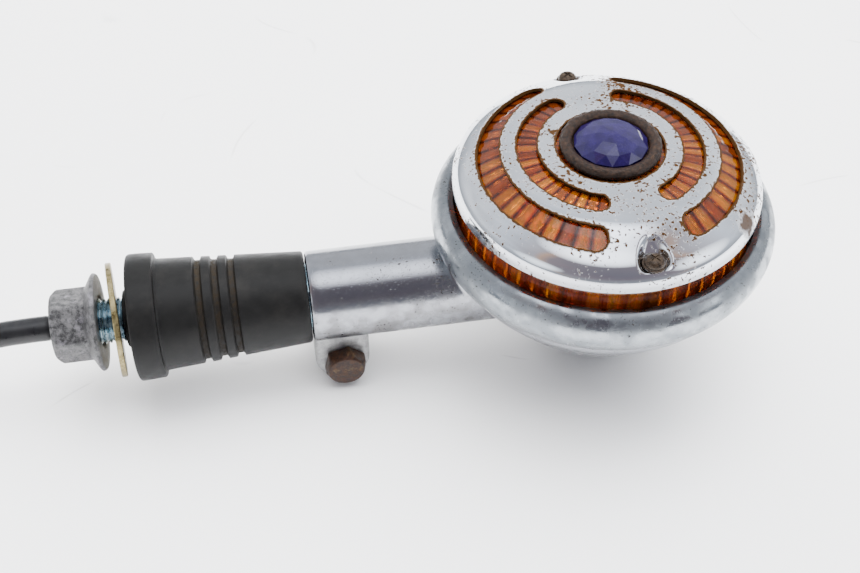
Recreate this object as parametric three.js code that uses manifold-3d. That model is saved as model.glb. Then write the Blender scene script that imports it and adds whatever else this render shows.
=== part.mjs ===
// Round motorcycle turn signal on a rubber stem: a chromed bowl with a clamp arm, a bead rim, an amber lens under
// a slotted cover, a blue jewel, a bayonet bulb, and a hollow threaded stud that the cable leaves through.
// Millimetres, +Z up along the lens axis. The arm runs towards -X. The lamp lies on its bowl and its clamp ears.
import * as THREE from 'three';
import { mergeVertices } from 'three/addons/utils/BufferGeometryUtils.js';
import Module from 'manifold-3d';

const wasm = await Module();
wasm.setup();

// ---- Driving dimensions ----
const GAP = 0.3;                 // air between pieces that touch
const LENS_X = 49.7;             // lens axis, from the middle of the lamp's length
const ARM_HEIGHT = 24;           // arm axis above the table
const ROUND = 24;                // facets of the bowl and what lies in it
const COVER_ROUND = 32;          // facets of the cover and the lens
const STEM_ROUND = 20;           // facets of the stem and what is on it
const SMALL_ROUND = 16;          // facets of a small turned piece

const BOWL_SEAM_R = 40.4, BOWL_SEAM_Z = 10.6, BOWL_WALL = 2.2;
const BOWL_LIP_R = 38.3, BOWL_LIP_Z = 17.5, BOWL_MOUTH_R = 35.6;
const RIM_R = 44.6, RIM_Z = 18.6, RIM_TOP_Z = 24.1, RIM_MOUTH_R = 38.95, RIM_WALL = 1.1;
const COVER_WALL = 0.8, LENS_WALL = 2.2, LENS_SKIRT_R = 38.15, LENS_FOOT_Z = 19.6;
const COVER_FOOT_Z = 29.4, COVER_HOLE_R = 13.57;
const SLOT_RINGS = [[18.33, 23.32], [27.74, 33.24]];    // inner and outer radius of each ring of slots
const SLOT_HALF_ANGLE = 71.5, PATTERN_TURN = 3;         // degrees
const SCREW_RING_R = 35.4, SCREW_SEAT_Z = 34, SCREW_SEAT_R = 3.5, SCREW_R = 1.95, SCREW_HEAD_R = 2.85;
const JEWEL_R = 9.3, JEWEL_GIRDLE_Z = 42.3, JEWEL_RISE = 3.2, JEWEL_FACETS = 12, BEZEL_R = 12.8;

const ARM_R = 12, ARM_BORE_R = 8.6, ARM_END_X = -78, CLAMP_BORE_R = 9.3, CLAMP_DEPTH = 21;
const EAR_WIDTH = 14.6, EAR_HALF_SPAN = 9, EAR_EYE_Z = -17.1, SLIT = 2.5;
const BOLT_X = -70.3, BOLT_Z = -16.9, BOLT_R = 3, BOLT_FLATS = 10, BOLT_HEAD = 4, CLAMP_NUT = 5;

const FLEX_OUTER_X = -105.8, GROOVE_MIDDLE_X = -101.5, FLEX_INNER_X = -97.2;   // the stem's three grooves
const FLEX_HALF_ANGLE = 5.3;                            // each face leans back by this much, degrees
const GROOVE_WIDTH = 1.8, GROOVE_DEPTH = 0.9;
const STEM_START_R = 12, STEM_END_R = 14.6, STEM_END_X = -116.8;
const FLANGE_R = 16.2, FLANGE_FACE_X = -123.8, BOSS_R = 7.5, BOSS_END_X = -125.7;
const SLEEVE_R = 9, SLEEVE_BORE_R = 7, SLEEVE_FROM_X = -92, SLEEVE_TO_X = -58;
const STUD_R = 5.95, STUD_BORE_R = 3.7, STUD_END_X = -141, STUD_HEAD_R = 9, STUD_HEAD_X = -112, STUD_HEAD = 3;
const WASHER_R = 15, WASHER_BORE_R = 6.6, WASHER = 1.5, WASHER_X = -128.25;
const WASHER_LEAN = [0, 2.9, 5.4];                      // it hangs askew on the stud, degrees about X, Y and Z
const NUT_FACE_X = -132, NUT_FLANGE_R = 12.8, NUT_FLANGE = 2.4, NUT_FLATS = 17, NUT_END_X = -144;
const NUT_FLAT_LEAN = 47;                               // one flat faces this far above -Y, degrees

const SOCKET_R = 8.5, SOCKET_BORE_R = 7.8, SOCKET_FLOOR_Z = -21.3, SOCKET_TOP_Z = -0.4, SOCKET_FLANGE_R = 11.5;
const BULB_BASE_R = 7.5, BULB_BASE_Z = -12.5, BULB_NECK_Z = 6, PIN_Z = -6, PIN_R = 1, PIN_REACH = 8.35;
const GLASS_R = 12.5, GLASS_TOP_Z = 34, GLASS_WALL = 0.9;
const BULB_TWIST = 20, BULB_PUSH = 3;                   // degrees, mm
const SPRING_R = 6, SPRING_WIRE_R = 0.45, SPRING_TURNS = 3, SPRING_FLOOR_Z = -20.35, SPRING_TOP_Z = -16.5;
const DISC_TOP_Z = -14.9, DISC = 1.3, DISC_R = 7.3;

const CABLE_R = 3.3, WIRE_R = 1.3, INNER_WIRE_R = 1.1;
const COIL_X = -228, COIL_Y = 40;                       // the coil's middle, from the lens and arm axes
const COIL_INNER_R = 29.5, COIL_OUTER_R = 43.4, COIL_LIFT = 0.9;
const TIE_WIDTH = 5, TIE_THICK = 0.6, TIE_ANGLE = 205;
const SHEATH_END_ANGLE = 130, WIRE_LENGTH = 42;         // where the two wires leave the sheath, degrees
const WIRE_RINGS = [[27.4, 18], [23.2, 8.6]];              // start and end radius of each wire's curl
const BULLET_R = 2, BULLET_LENGTH = 8, BULLET_SLEEVE_R = 2.6, BULLET_SLEEVE = 11;

// ---- Solids ----
const radians = THREE.MathUtils.degToRad;

/** A closed manifold from a three.js geometry, with its faces pointing out. */
function solid(geometry) {
  const bare = geometry.index ? geometry.toNonIndexed() : geometry.clone();
  for (const name of Object.keys(bare.attributes)) if (name !== 'position') bare.deleteAttribute(name);
  const merged = mergeVertices(bare, 1e-4);
  const place = merged.attributes.position;
  const index = merged.index.array;
  const triangles = [];
  for (let i = 0; i < index.length; i += 3) {
    const [a, b, c] = [index[i], index[i + 1], index[i + 2]];
    if (a !== b && b !== c && c !== a) triangles.push(a, b, c);
  }
  const corner = [0, 1, 2].map(() => new THREE.Vector3());
  let volume = 0;
  for (let i = 0; i < triangles.length; i += 3) {
    corner.forEach((v, k) => v.fromBufferAttribute(place, triangles[i + k]));
    volume += corner[0].dot(corner[1].cross(corner[2]));
  }
  if (volume < 0) triangles.reverse();
  const mesh = new wasm.Mesh({
    numProp: 3,
    vertProperties: new Float32Array(place.array),
    triVerts: new Uint32Array(triangles),
  });
  return new wasm.Manifold(mesh);
}

const joined = (first, ...rest) => rest.reduce((sum, piece) => sum.add(piece), first);
const cut = (first, ...rest) => rest.reduce((left, piece) => left.subtract(piece), first);
const v2 = (points) => points.map(([r, z]) => new THREE.Vector2(r, z));

/** A closed section of [radius, z] points turned about Z. */
function turned(points, facets = ROUND) {
  const closed = points[0][0] === 0 ? points : [...points, points[0]];
  return solid(new THREE.LatheGeometry(v2(closed), facets).rotateX(Math.PI / 2));
}

/** A closed section of [radius, x] points turned about X. */
function turnedAlongX(points, facets = SMALL_ROUND) {
  const closed = points[0][0] === 0 ? points : [...points, points[0]];
  return solid(new THREE.LatheGeometry(v2(closed), facets).rotateZ(-Math.PI / 2));
}

/** A ring between two radii and two heights, about Z. */
const ring = (inner, outer, low, high, facets = ROUND) =>
  turned([[inner, low], [outer, low], [outer, high], [inner, high]], facets);

/** A tube between two radii and two places along X. */
const tubeX = (inner, outer, from, to, facets = SMALL_ROUND) =>
  turnedAlongX([[inner, from], [outer, from], [outer, to], [inner, to]], facets);

/** An upright rod at (x, y). */
const post = (radius, low, high, x = 0, y = 0, facets = SMALL_ROUND) =>
  solid(new THREE.CylinderGeometry(radius, radius, high - low, facets).rotateX(Math.PI / 2)
    .translate(x, y, (low + high) / 2));

/** A rod along Y at (x, z). */
const rodY = (radius, from, to, x, z, facets = SMALL_ROUND) =>
  solid(new THREE.CylinderGeometry(radius, radius, to - from, facets).translate(x, (from + to) / 2, z));

const box = (x, y, z, dx, dy, dz) => solid(new THREE.BoxGeometry(dx, dy, dz).translate(x, y, z));

/** A flat shape in X and Z, extruded along Y from one place to another. */
const slabY = (shape, from, to) =>
  solid(new THREE.ExtrudeGeometry(shape, { depth: to - from, bevelEnabled: false, curveSegments: 12 })
    .rotateX(Math.PI / 2).translate(0, to, 0));

/** A round tube through points, closed at both ends. */
function cord(points, radius, sides, steps) {
  const path = new THREE.CatmullRomCurve3(points.map((p) => new THREE.Vector3(...p)), false, 'centripetal');
  const section = new THREE.Shape();
  section.absarc(0, 0, radius, 0, 2 * Math.PI);
  const shape = new THREE.Shape(section.getSpacedPoints(sides).slice(0, sides));
  return solid(new THREE.ExtrudeGeometry(shape, { steps, extrudePath: path }));
}

/** A profile moved inwards by a distance, square to its own line. */
function inset(profile, distance) {
  return profile.map(([r, z], i) => {
    const before = profile[Math.max(i - 1, 0)];
    const after = profile[Math.min(i + 1, profile.length - 1)];
    const along = new THREE.Vector2(after[0] - before[0], after[1] - before[1]).normalize();
    return [r - along.y * distance, z + along.x * distance];
  });
}

const screwPlaces = [-90, 90].map((side) => {
  const angle = radians(side + PATTERN_TURN);
  return { angle, x: SCREW_RING_R * Math.cos(angle), y: SCREW_RING_R * Math.sin(angle) };
});

// ---- Bowl, arm and clamp: one casting ----
const bowlOutside = [[9.5, -24], [12, -22.6], [17.6, -17.4], [23.6, -11.6], [29, -5.7], [33.6, 0], [37, 4.3],
  [39.6, 8], [BOWL_SEAM_R, BOWL_SEAM_Z]];
const bowlInside = [[BOWL_MOUTH_R, 7.2], ...inset(bowlOutside, BOWL_WALL).slice(1, 7).reverse(),
  [9.5, -24 + BOWL_WALL]];

function bowlSolid() {
  return turned([[0, -24], ...bowlOutside, [BOWL_SEAM_R, BOWL_SEAM_Z + GAP], [BOWL_LIP_R, BOWL_SEAM_Z + GAP],
    [BOWL_LIP_R, BOWL_LIP_Z], [BOWL_MOUTH_R, BOWL_LIP_Z], ...bowlInside, [0, -24 + BOWL_WALL]]);
}

const bowlRoom = () => turned([[0, BOWL_LIP_Z + 9], [BOWL_MOUTH_R, BOWL_LIP_Z + 9], ...bowlInside,
  [0, -24 + BOWL_WALL]]);

function housing() {
  const earShape = new THREE.Shape();
  const earRadius = EAR_WIDTH / 2;
  const eyeX = ARM_END_X + earRadius;
  earShape.moveTo(ARM_END_X, -4);
  earShape.lineTo(ARM_END_X, EAR_EYE_Z);
  earShape.absarc(eyeX, EAR_EYE_Z, earRadius, Math.PI, 2 * Math.PI, false);
  earShape.lineTo(ARM_END_X + EAR_WIDTH, -4);
  const ears = slabY(earShape, -EAR_HALF_SPAN, EAR_HALF_SPAN);
  const arm = cut(solid(new THREE.CylinderGeometry(ARM_R, ARM_R, -22 - ARM_END_X, STEM_ROUND)
    .rotateZ(Math.PI / 2).translate((ARM_END_X - 22) / 2, 0, 0)), bowlRoom());
  const bosses = screwPlaces.map(({ x, y }) => post(4, 2, BOWL_LIP_Z, x, y));
  const lipRoom = turned([[0, -30], [41, -30], [41, BOWL_SEAM_Z + GAP], [BOWL_LIP_R, BOWL_SEAM_Z + GAP],
    [BOWL_LIP_R, 40], [0, 40]]);
  const bossRoom = joined(turned([[0, -24], ...bowlOutside, [0, BOWL_SEAM_Z]]), post(BOWL_LIP_R, 5, 18, 0, 0, ROUND));
  const inBowl = joined(...bosses).intersect(bossRoom);
  const body = joined(bowlSolid(), arm, ears, inBowl);
  const rimRoom = turned([[BOWL_LIP_R, BOWL_SEAM_Z + GAP], [50, BOWL_SEAM_Z + GAP], [50, 30], [BOWL_LIP_R, 30]]);
  const wireWay = tubeX(0, ARM_BORE_R, ARM_END_X - 1, -20).intersect(
    cut(box(-60, 0, 0, 90, 40, 40), turned([[0, -24], ...inset(bowlOutside, BOWL_WALL * 2), [0, 10]])));
  return cut(body, rimRoom, wireWay,
    tubeX(0, CLAMP_BORE_R, ARM_END_X - 1, ARM_END_X + CLAMP_DEPTH, STEM_ROUND),
    box(ARM_END_X + CLAMP_DEPTH / 2 - 1, 0, -20, CLAMP_DEPTH + 2, SLIT, 24),
    rodY(BOLT_R + GAP, -20, 20, BOLT_X, BOLT_Z),
    ...screwPlaces.map(({ x, y }) => post(SCREW_R + 0.2, BOWL_LIP_Z - 8, 30, x, y)))
    .intersect(joined(lipRoom, box(-60, 0, 0, 90, 40, 60)));
}

// ---- Rim bead, gasket ----
function rimRing() {
  const outside = [[BOWL_LIP_R + 0.4, 11.2], [40.83, 11.2], [42.9, 13.2], [44.2, 16], [RIM_R, RIM_Z],
    [44.1, 21], [42.5, 23.2], [40.6, RIM_TOP_Z], [RIM_MOUTH_R, 23.5]];
  const inside = inset(outside, RIM_WALL).slice(2, 8);
  return turned([...outside, [RIM_MOUTH_R, 22.5], ...inside.reverse(), [41, 12.3], [BOWL_LIP_R + 0.4, 12.3]]);
}

const gasket = () => cut(ring(34.6, BOWL_LIP_R, BOWL_LIP_Z + GAP, LENS_FOOT_Z - GAP),
  ...screwPlaces.map(({ x, y }) => post(SCREW_R + 0.4, 10, 30, x, y)));

// ---- Slotted cover and lens ----
const coverLine = [[39.3, COVER_FOOT_Z], [39.2, 31.2], [38.4, 33.2], [36.6, 35], [33.24, 36.95], [27.74, 39.8],
  [23.32, 40.65], [18.33, 41.15]];

/** The two teardrop recesses that the screw heads sit in, grown on every side by a distance. */
function recesses(grow) {
  return screwPlaces.map(({ angle, x, y }) => {
    const seat = post(SCREW_SEAT_R + grow, SCREW_SEAT_Z - grow, 60, x, y);
    const run = 9.5;
    const cone = new THREE.ConeGeometry(SCREW_SEAT_R + grow, run, 12).rotateZ(Math.PI / 2)
      .rotateY(radians(27)).translate(SCREW_RING_R - run / 2 + 1, 0, SCREW_SEAT_Z + 4.6).rotateZ(angle);
    return joined(seat, solid(cone));
  });
}

/** A curved slot with round ends, cut straight down, between two radii. */
function slot([inner, outer], middle) {
  const half = radians(SLOT_HALF_ANGLE);
  const radius = (outer - inner) / 2;
  const centre = inner + radius;
  const swing = half - radius / centre;
  const from = middle - swing;
  const to = middle + swing;
  const shape = new THREE.Shape();
  shape.absarc(0, 0, outer, from, to, false);
  shape.absarc(centre * Math.cos(to), centre * Math.sin(to), radius, to, to + Math.PI, false);
  shape.absarc(0, 0, inner, to, from, true);
  shape.absarc(centre * Math.cos(from), centre * Math.sin(from), radius, from + Math.PI, from + 2 * Math.PI, false);
  return solid(new THREE.ExtrudeGeometry(shape, { depth: 20, bevelEnabled: false, curveSegments: 9 })
    .translate(0, 0, 30));
}

function grilleCover() {
  const outside = turned([[0, COVER_FOOT_Z], ...coverLine, [COVER_HOLE_R, 41.25], [0, 41.25]], COVER_ROUND);
  const under = inset([...coverLine, [COVER_HOLE_R, 41.25]], COVER_WALL);
  const inside = turned([[0, 20], [under[0][0], 20], ...under, [0, 41.25 - COVER_WALL]], COVER_ROUND);
  const pressed = cut(cut(outside, ...recesses(0)), cut(inside, ...recesses(COVER_WALL)));
  const middles = [radians(PATTERN_TURN), radians(PATTERN_TURN + 180)];
  return cut(pressed, post(COVER_HOLE_R, 30, 50, 0, 0, COVER_ROUND),
    ...SLOT_RINGS.flatMap((radii) => middles.map((middle) => slot(radii, middle))),
    ...screwPlaces.map(({ x, y }) => post(SCREW_R + GAP, 20, 50, x, y)));
}

function lens() {
  const top = COVER_WALL + 0.35;
  const outer = [[LENS_SKIRT_R, LENS_FOOT_Z], [LENS_SKIRT_R, 29.5], ...inset(coverLine, top).slice(1),
    [6, 40.05]];
  const inner = [[LENS_SKIRT_R - LENS_WALL, LENS_FOOT_Z], [LENS_SKIRT_R - LENS_WALL, 29.5],
    ...inset(coverLine, top + LENS_WALL).slice(1), [6, 40.05 - LENS_WALL]];
  const outside = cut(turned([[0, LENS_FOOT_Z], ...outer, [0, 40.05]], COVER_ROUND), ...recesses(top));
  const inside = cut(turned([[0, LENS_FOOT_Z - 5], [inner[0][0], LENS_FOOT_Z - 5], ...inner.slice(1),
    [0, 40.05 - LENS_WALL]], COVER_ROUND), ...recesses(top + LENS_WALL),
  ...screwPlaces.map(({ x, y }) => post(3.9, 0, 60, x, y)));
  return cut(outside, inside, post(2.6 + GAP, 30, 50),
    ...screwPlaces.map(({ x, y }) => post(SCREW_R + GAP, 10, 50, x, y)));
}

function lensScrew({ x, y }) {
  const seat = SCREW_SEAT_Z + 0.2;
  const head = [[0, BOWL_LIP_Z - 6.5], [SCREW_R, BOWL_LIP_Z - 6.5], [SCREW_R, seat], [SCREW_HEAD_R, seat],
    [SCREW_HEAD_R, seat + 0.9], [2.2, seat + 1.9], [1.2, seat + 2.3], [0, seat + 2.4]];
  const slots = [0, 90].map((turn) => solid(new THREE.BoxGeometry(3, 0.7, 1.6).rotateZ(radians(turn))
    .translate(0, 0, seat + 2.3)));
  return cut(turned(head, SMALL_ROUND), ...slots).translate([x, y, 0]);
}

// ---- Jewel ----
const jewelBezel = () => turned([[0, 35.9], [2.6, 35.9], [2.6, 40.4], [11.6, 40.4], [12.5, 40.9], [BEZEL_R, 41.7],
  [12.4, 42.7], [11.4, 43.2], [10.3, 42.9], [JEWEL_R + 0.3, 42.2], [JEWEL_R + 0.3, 41.1], [0, 41.1]], STEM_ROUND);

const jewel = () => turned([[0, 41.4], [JEWEL_R, 41.4], [JEWEL_R, JEWEL_GIRDLE_Z],
  [JEWEL_R * 0.72, JEWEL_GIRDLE_Z + JEWEL_RISE * 0.6], [JEWEL_R * 0.36, JEWEL_GIRDLE_Z + JEWEL_RISE * 0.92],
  [0, JEWEL_GIRDLE_Z + JEWEL_RISE]], JEWEL_FACETS);

// ---- Bulb, socket, reflector ----
function reflector() {
  const dish = [[9.2, -0.1], [12, 0.1], [18, 2.4], [24, 6.2], [30, 11.2], [33.4, 15], [34.4, 16.4]];
  const back = inset(dish, -0.8);
  return cut(turned([...dish, ...back.reverse()]), ...screwPlaces.map(({ x, y }) => post(4.5, -5, 30, x, y)));
}

function bulbSocket() {
  const shell = joined(ring(SOCKET_BORE_R, SOCKET_R, SOCKET_FLOOR_Z, SOCKET_TOP_Z),
    ring(3.5, SOCKET_R, SOCKET_FLOOR_Z, SOCKET_FLOOR_Z + 0.6),
    ring(SOCKET_R - 0.3, SOCKET_FLANGE_R, -2.2, -1.3));
  const window = (turn) => {
    const low = PIN_Z - BULB_PUSH - PIN_R - 0.3;
    const pieces = [];
    for (let step = 0; step <= 2; step += 1) {
      const angle = radians(turn + BULB_TWIST * (step / 2));
      pieces.push(solid(new THREE.BoxGeometry(6, 2.9, PIN_Z + PIN_R + 0.2 - low)
        .translate(SOCKET_R, 0, (PIN_Z + PIN_R + 0.2 + low) / 2).rotateZ(angle)));
    }
    const way = solid(new THREE.BoxGeometry(3.2, 2.9, 12).translate(SOCKET_BORE_R - 0.5, 0, low + 6)
      .rotateZ(radians(turn + BULB_TWIST)));
    return joined(...pieces, way);
  };
  return cut(shell, window(0), window(180), solid(new THREE.CylinderGeometry(1.7, 1.7, 6, 16)
    .rotateX(Math.PI / 2).rotateY(Math.PI / 2).rotateZ(Math.PI / 2).translate(0, 0, 0)
    .rotateZ(Math.PI / 2).translate(-SOCKET_R, 0, -18.4)));
}

function bulbBase() {
  const pins = [0, 180].map((turn) => solid(new THREE.CylinderGeometry(PIN_R, PIN_R, PIN_REACH - 5, 12)
    .rotateZ(Math.PI / 2).translate((PIN_REACH + 5) / 2, 0, PIN_Z).rotateZ(radians(turn))));
  return joined(ring(6.5, BULB_BASE_R, BULB_BASE_Z, BULB_NECK_Z, SMALL_ROUND), ...pins,
    ring(3.6, 7, BULB_BASE_Z, BULB_BASE_Z + 1, SMALL_ROUND));
}

function bulbGlass() {
  const outside = [[7.2, BULB_NECK_Z + GAP], [7.8, 8.6], [10.4, 12.6], [12.1, 17], [GLASS_R, 21.5], [12, 26],
    [10, 30.2], [6.2, 33], [2.4, GLASS_TOP_Z - 0.1]];
  const inside = inset(outside, GLASS_WALL);
  inside[0][1] = BULB_NECK_Z + GAP;
  return turned([[0, GLASS_TOP_Z], ...outside.reverse(), ...inside, [0, GLASS_TOP_Z - GLASS_WALL]], 20);
}

function bulbFilament() {
  const stem = turned([[0, 4.5], [5.6, 4.5], [5.6, 5.6], [3, 8], [2.2, 14], [0, 15]], 16);
  const leads = [-3.2, 3.2].map((y) => cord([[0, y * 0.4, 12], [0, y * 0.7, 16], [0, y, 20]], 0.35, 8, 6));
  return joined(stem, ...leads, rodY(0.7, -3.6, 3.6, 0, 20, 12));
}

const bulbContact = () => turned([[0, -13.6], [1.8, -13.5], [2.6, -13], [3.2, -12.4], [3.2, -11.4], [0, -11.4]], 16);

function contactSpring() {
  const coils = [];
  const steps = SPRING_TURNS * 10;
  const rise = SPRING_TOP_Z - SPRING_FLOOR_Z - 2 * SPRING_WIRE_R;
  for (let i = 0; i <= steps; i += 1) {
    const angle = (i / steps) * SPRING_TURNS * 2 * Math.PI;
    coils.push([SPRING_R * Math.cos(angle), SPRING_R * Math.sin(angle),
      SPRING_FLOOR_Z + SPRING_WIRE_R + rise * (i / steps)]);
  }
  return cord(coils, SPRING_WIRE_R, 6, steps);
}

// ---- Stem, stud, washer, nut ----
const stemRadius = (x) => THREE.MathUtils.mapLinear(x, ARM_END_X, STEM_END_X, STEM_START_R, STEM_END_R);
const flexFace = (pivot, radius, side) => pivot + side * (0.15 + radius * Math.tan(radians(FLEX_HALF_ANGLE)));

function stemRoot() {
  const near = FLEX_INNER_X;
  const from = ARM_END_X - GAP;
  return turnedAlongX([[4.3, flexFace(near, 4.3, 1)], [stemRadius(near), flexFace(near, stemRadius(near), 1)],
    [stemRadius(from), from], [CLAMP_BORE_R, from], [CLAMP_BORE_R, SLEEVE_FROM_X - GAP],
    [4.3, SLEEVE_FROM_X - GAP]], STEM_ROUND);
}

function stemRing() {
  const [left, middle, right] = [FLEX_OUTER_X, GROOVE_MIDDLE_X, FLEX_INNER_X];
  const half = GROOVE_WIDTH / 2;
  const bore = 5.2;
  return turnedAlongX([[bore, flexFace(left, bore, 1)], [stemRadius(left), flexFace(left, stemRadius(left), 1)],
    [stemRadius(middle), middle - half], [stemRadius(middle) - GROOVE_DEPTH, middle - half],
    [stemRadius(middle) - GROOVE_DEPTH, middle + half], [stemRadius(middle), middle + half],
    [stemRadius(right), flexFace(right, stemRadius(right), -1)], [bore, flexFace(right, bore, -1)]], STEM_ROUND);
}

function stemTip() {
  const pivot = FLEX_OUTER_X;
  const bore = STUD_R + GAP;
  return turnedAlongX([[CLAMP_BORE_R, flexFace(pivot, CLAMP_BORE_R, -1)],
    [stemRadius(pivot), flexFace(pivot, stemRadius(pivot), -1)], [STEM_END_R, STEM_END_X],
    [FLANGE_R - 0.6, STEM_END_X - 0.2], [FLANGE_R, -118], [FLANGE_R + 0.3, -122], [FLANGE_R - 0.2, FLANGE_FACE_X],
    [BOSS_R, FLANGE_FACE_X], [BOSS_R, BOSS_END_X], [bore, BOSS_END_X], [bore, STUD_HEAD_X - GAP],
    [CLAMP_BORE_R, STUD_HEAD_X - GAP]], STEM_ROUND);
}

function mountStud() {
  const [end, head] = [STUD_END_X, STUD_HEAD_X];
  return turnedAlongX([[STUD_BORE_R, end], [STUD_R - 0.8, end], [STUD_R, end + 0.8], [STUD_R, head],
    [STUD_HEAD_R, head], [STUD_HEAD_R, head + STUD_HEAD], [STUD_BORE_R, head + STUD_HEAD]], STEM_ROUND);
}

function flangeNut() {
  const corner = NUT_FLATS / Math.sqrt(3);
  const middle = (NUT_END_X + NUT_FACE_X) / 2;
  const bar = solid(new THREE.CylinderGeometry(corner, corner, NUT_FACE_X - NUT_END_X, 6).rotateZ(Math.PI / 2)
    .rotateX(radians(-NUT_FLAT_LEAN)).translate(middle, 0, 0));
  const chamfer = turnedAlongX([[0, NUT_END_X], [8.5, NUT_END_X], [corner + 0.1, NUT_END_X + 1],
    [corner + 0.1, NUT_FACE_X], [0, NUT_FACE_X]], STEM_ROUND);
  const flange = turnedAlongX([[0, NUT_FACE_X], [NUT_FLANGE_R - 0.3, NUT_FACE_X], [NUT_FLANGE_R, NUT_FACE_X - 0.7],
    [NUT_FLANGE_R - 0.3, NUT_FACE_X - 1.3], [9.4, NUT_FACE_X - NUT_FLANGE - 0.8],
    [0, NUT_FACE_X - NUT_FLANGE - 0.8]], STEM_ROUND);
  return cut(joined(bar.intersect(chamfer), flange), tubeX(0, STUD_R + GAP, NUT_END_X - 1, NUT_FACE_X + 1, STEM_ROUND));
}

const flatWasher = () => tubeX(WASHER_BORE_R, WASHER_R, -WASHER / 2, WASHER / 2, STEM_ROUND)
  .rotate(WASHER_LEAN).translate([WASHER_X, 0, 0]);

// ---- Clamp bolt and nut ----
function clampBolt() {
  const head = -EAR_HALF_SPAN - GAP;
  const corner = BOLT_FLATS / Math.sqrt(3);
  const hex = solid(new THREE.CylinderGeometry(corner, corner, BOLT_HEAD, 6).rotateY(radians(12))
    .translate(BOLT_X, head - BOLT_HEAD / 2, BOLT_Z));
  const round = solid(new THREE.CylinderGeometry(corner + 0.2, corner - 0.9, BOLT_HEAD, 24)
    .translate(BOLT_X, head - BOLT_HEAD / 2, BOLT_Z));
  return joined(hex.intersect(round), rodY(BOLT_R, head - 1, EAR_HALF_SPAN + CLAMP_NUT + 2, BOLT_X, BOLT_Z));
}

function clampNut() {
  const from = EAR_HALF_SPAN + GAP;
  const corner = BOLT_FLATS / Math.sqrt(3);
  const hex = solid(new THREE.CylinderGeometry(corner, corner, CLAMP_NUT, 6)
    .translate(BOLT_X, from + CLAMP_NUT / 2, BOLT_Z));
  return cut(hex, rodY(BOLT_R + GAP, 0, 30, BOLT_X, BOLT_Z));
}

// ---- Cable ----
const TABLE_Z = -ARM_HEIGHT;
const cableRestZ = TABLE_Z + COIL_LIFT + CABLE_R;
const cableRoute = [[NUT_END_X - GAP, 0, 0], [-150, 0, 0], [-156, 0, -0.2], [-163, 0, -1.2], [-171, 0, -3.9],
  [-180, 0, -8.6], [-188, 0, -13.1], [-196, 0, -17.4], [-200.5, 0, -19.1], [-204.3, 0, cableRestZ]];

const cableCoil = () => ring(COIL_INNER_R, COIL_OUTER_R, TABLE_Z + COIL_LIFT, cableRestZ + CABLE_R, STEM_ROUND)
  .translate([COIL_X, COIL_Y, 0]);

function coilTie() {
  const [low, high] = [TABLE_Z + COIL_LIFT - GAP, cableRestZ + CABLE_R + GAP];
  const middle = (COIL_INNER_R + COIL_OUTER_R) / 2;
  const width = COIL_OUTER_R - COIL_INNER_R + 2;
  const height = (low + high) / 2;
  const inside = box(middle, 0, height, width, 40, high - low);
  const band = cut(box(middle, 0, height, width + 2 * TIE_THICK, TIE_WIDTH, high - low + 2 * TIE_THICK), inside);
  return band.rotate([0, 0, TIE_ANGLE]).translate([COIL_X, COIL_Y, 0]);
}

/** Points of a wire that curls inwards, clockwise, from the sheath's end. */
function wireCurl([startR, endR]) {
  const steps = 12;
  const sweep = WIRE_LENGTH / ((startR + endR) / 2);
  return Array.from({ length: steps + 1 }, (_, i) => {
    const part = i / steps;
    const angle = radians(SHEATH_END_ANGLE) - sweep * part;
    const radius = THREE.MathUtils.lerp(startR, endR, part);
    return [COIL_X + radius * Math.cos(angle), COIL_Y + radius * Math.sin(angle), TABLE_Z + BULLET_SLEEVE_R + 0.1];
  });
}

/** A round bar from a wire's end, along the wire's last direction. */
function wireEnd(rings, radius, from, length) {
  const points = wireCurl(rings);
  const [end, before] = [points.at(-1), points.at(-2)];
  const along = new THREE.Vector3(end[0] - before[0], end[1] - before[1], 0).normalize();
  const middle = new THREE.Vector3(...end).addScaledVector(along, from + length / 2);
  const turn = new THREE.Quaternion().setFromUnitVectors(new THREE.Vector3(0, 1, 0), along);
  return solid(new THREE.CylinderGeometry(radius, radius, length, 16).applyQuaternion(turn)
    .translate(middle.x, middle.y, middle.z));
}

function cableRun(from, to) {
  return tubeX(0, CABLE_R, from, to, 12);
}

const feedRoute = [[-37.5, -1.6, 0], [-33, -2.2, 0.4], [-28, -2.8, -0.6], [-22, -3, -5.2], [-16, -2.2, -11.5],
  [-12.8, -0.8, -16.4], [-10.4, 0, -18.3], [-7.9, 0, -18.4]];
const earthRoute = [[-37.5, 1.6, 0.4], [-32, 2.6, 1.2], [-26, 3.4, 0.6], [-20, 3.2, -1.4], [-14.6, 2.4, -3.1],
  [-11.9, 1.6, -3.7]];

// ---- Materials and assembly ----
const finish = (color, roughness, metalness) => new THREE.MeshStandardMaterial({ color, roughness, metalness });
const chrome = finish(0xc9cdd2, 0.18, 1);
const zincCast = finish(0xaeb4b6, 0.35, 1);
const rustySteel = finish(0x4a342b, 0.8, 0.6);
const zincSteel = finish(0x8c8c8a, 0.5, 0.9);
const yellowZinc = finish(0xc0aa6a, 0.4, 0.9);
const brass = finish(0xb8923e, 0.35, 1);
const rubber = finish(0x1f2022, 0.75, 0);
const amber = finish(0xd9650f, 0.15, 0);
const blueGlass = finish(0x2a2596, 0.1, 0);
const clearGlass = finish(0xe8eef0, 0.05, 0);
const bakelite = finish(0x3a2a1c, 0.6, 0);

const assembly = new THREE.Group();
const lamp = new THREE.Group();
lamp.position.set(LENS_X, 0, ARM_HEIGHT);
assembly.add(lamp);

function add(name, piece, material) {
  const { vertProperties, triVerts } = piece.getMesh();
  const geometry = new THREE.BufferGeometry();
  geometry.setAttribute('position', new THREE.BufferAttribute(new Float32Array(vertProperties), 3));
  geometry.setIndex(new THREE.BufferAttribute(new Uint32Array(triVerts), 1));
  geometry.computeVertexNormals();
  const mesh = new THREE.Mesh(geometry, material);
  mesh.name = name;
  lamp.add(mesh);
}

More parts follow.
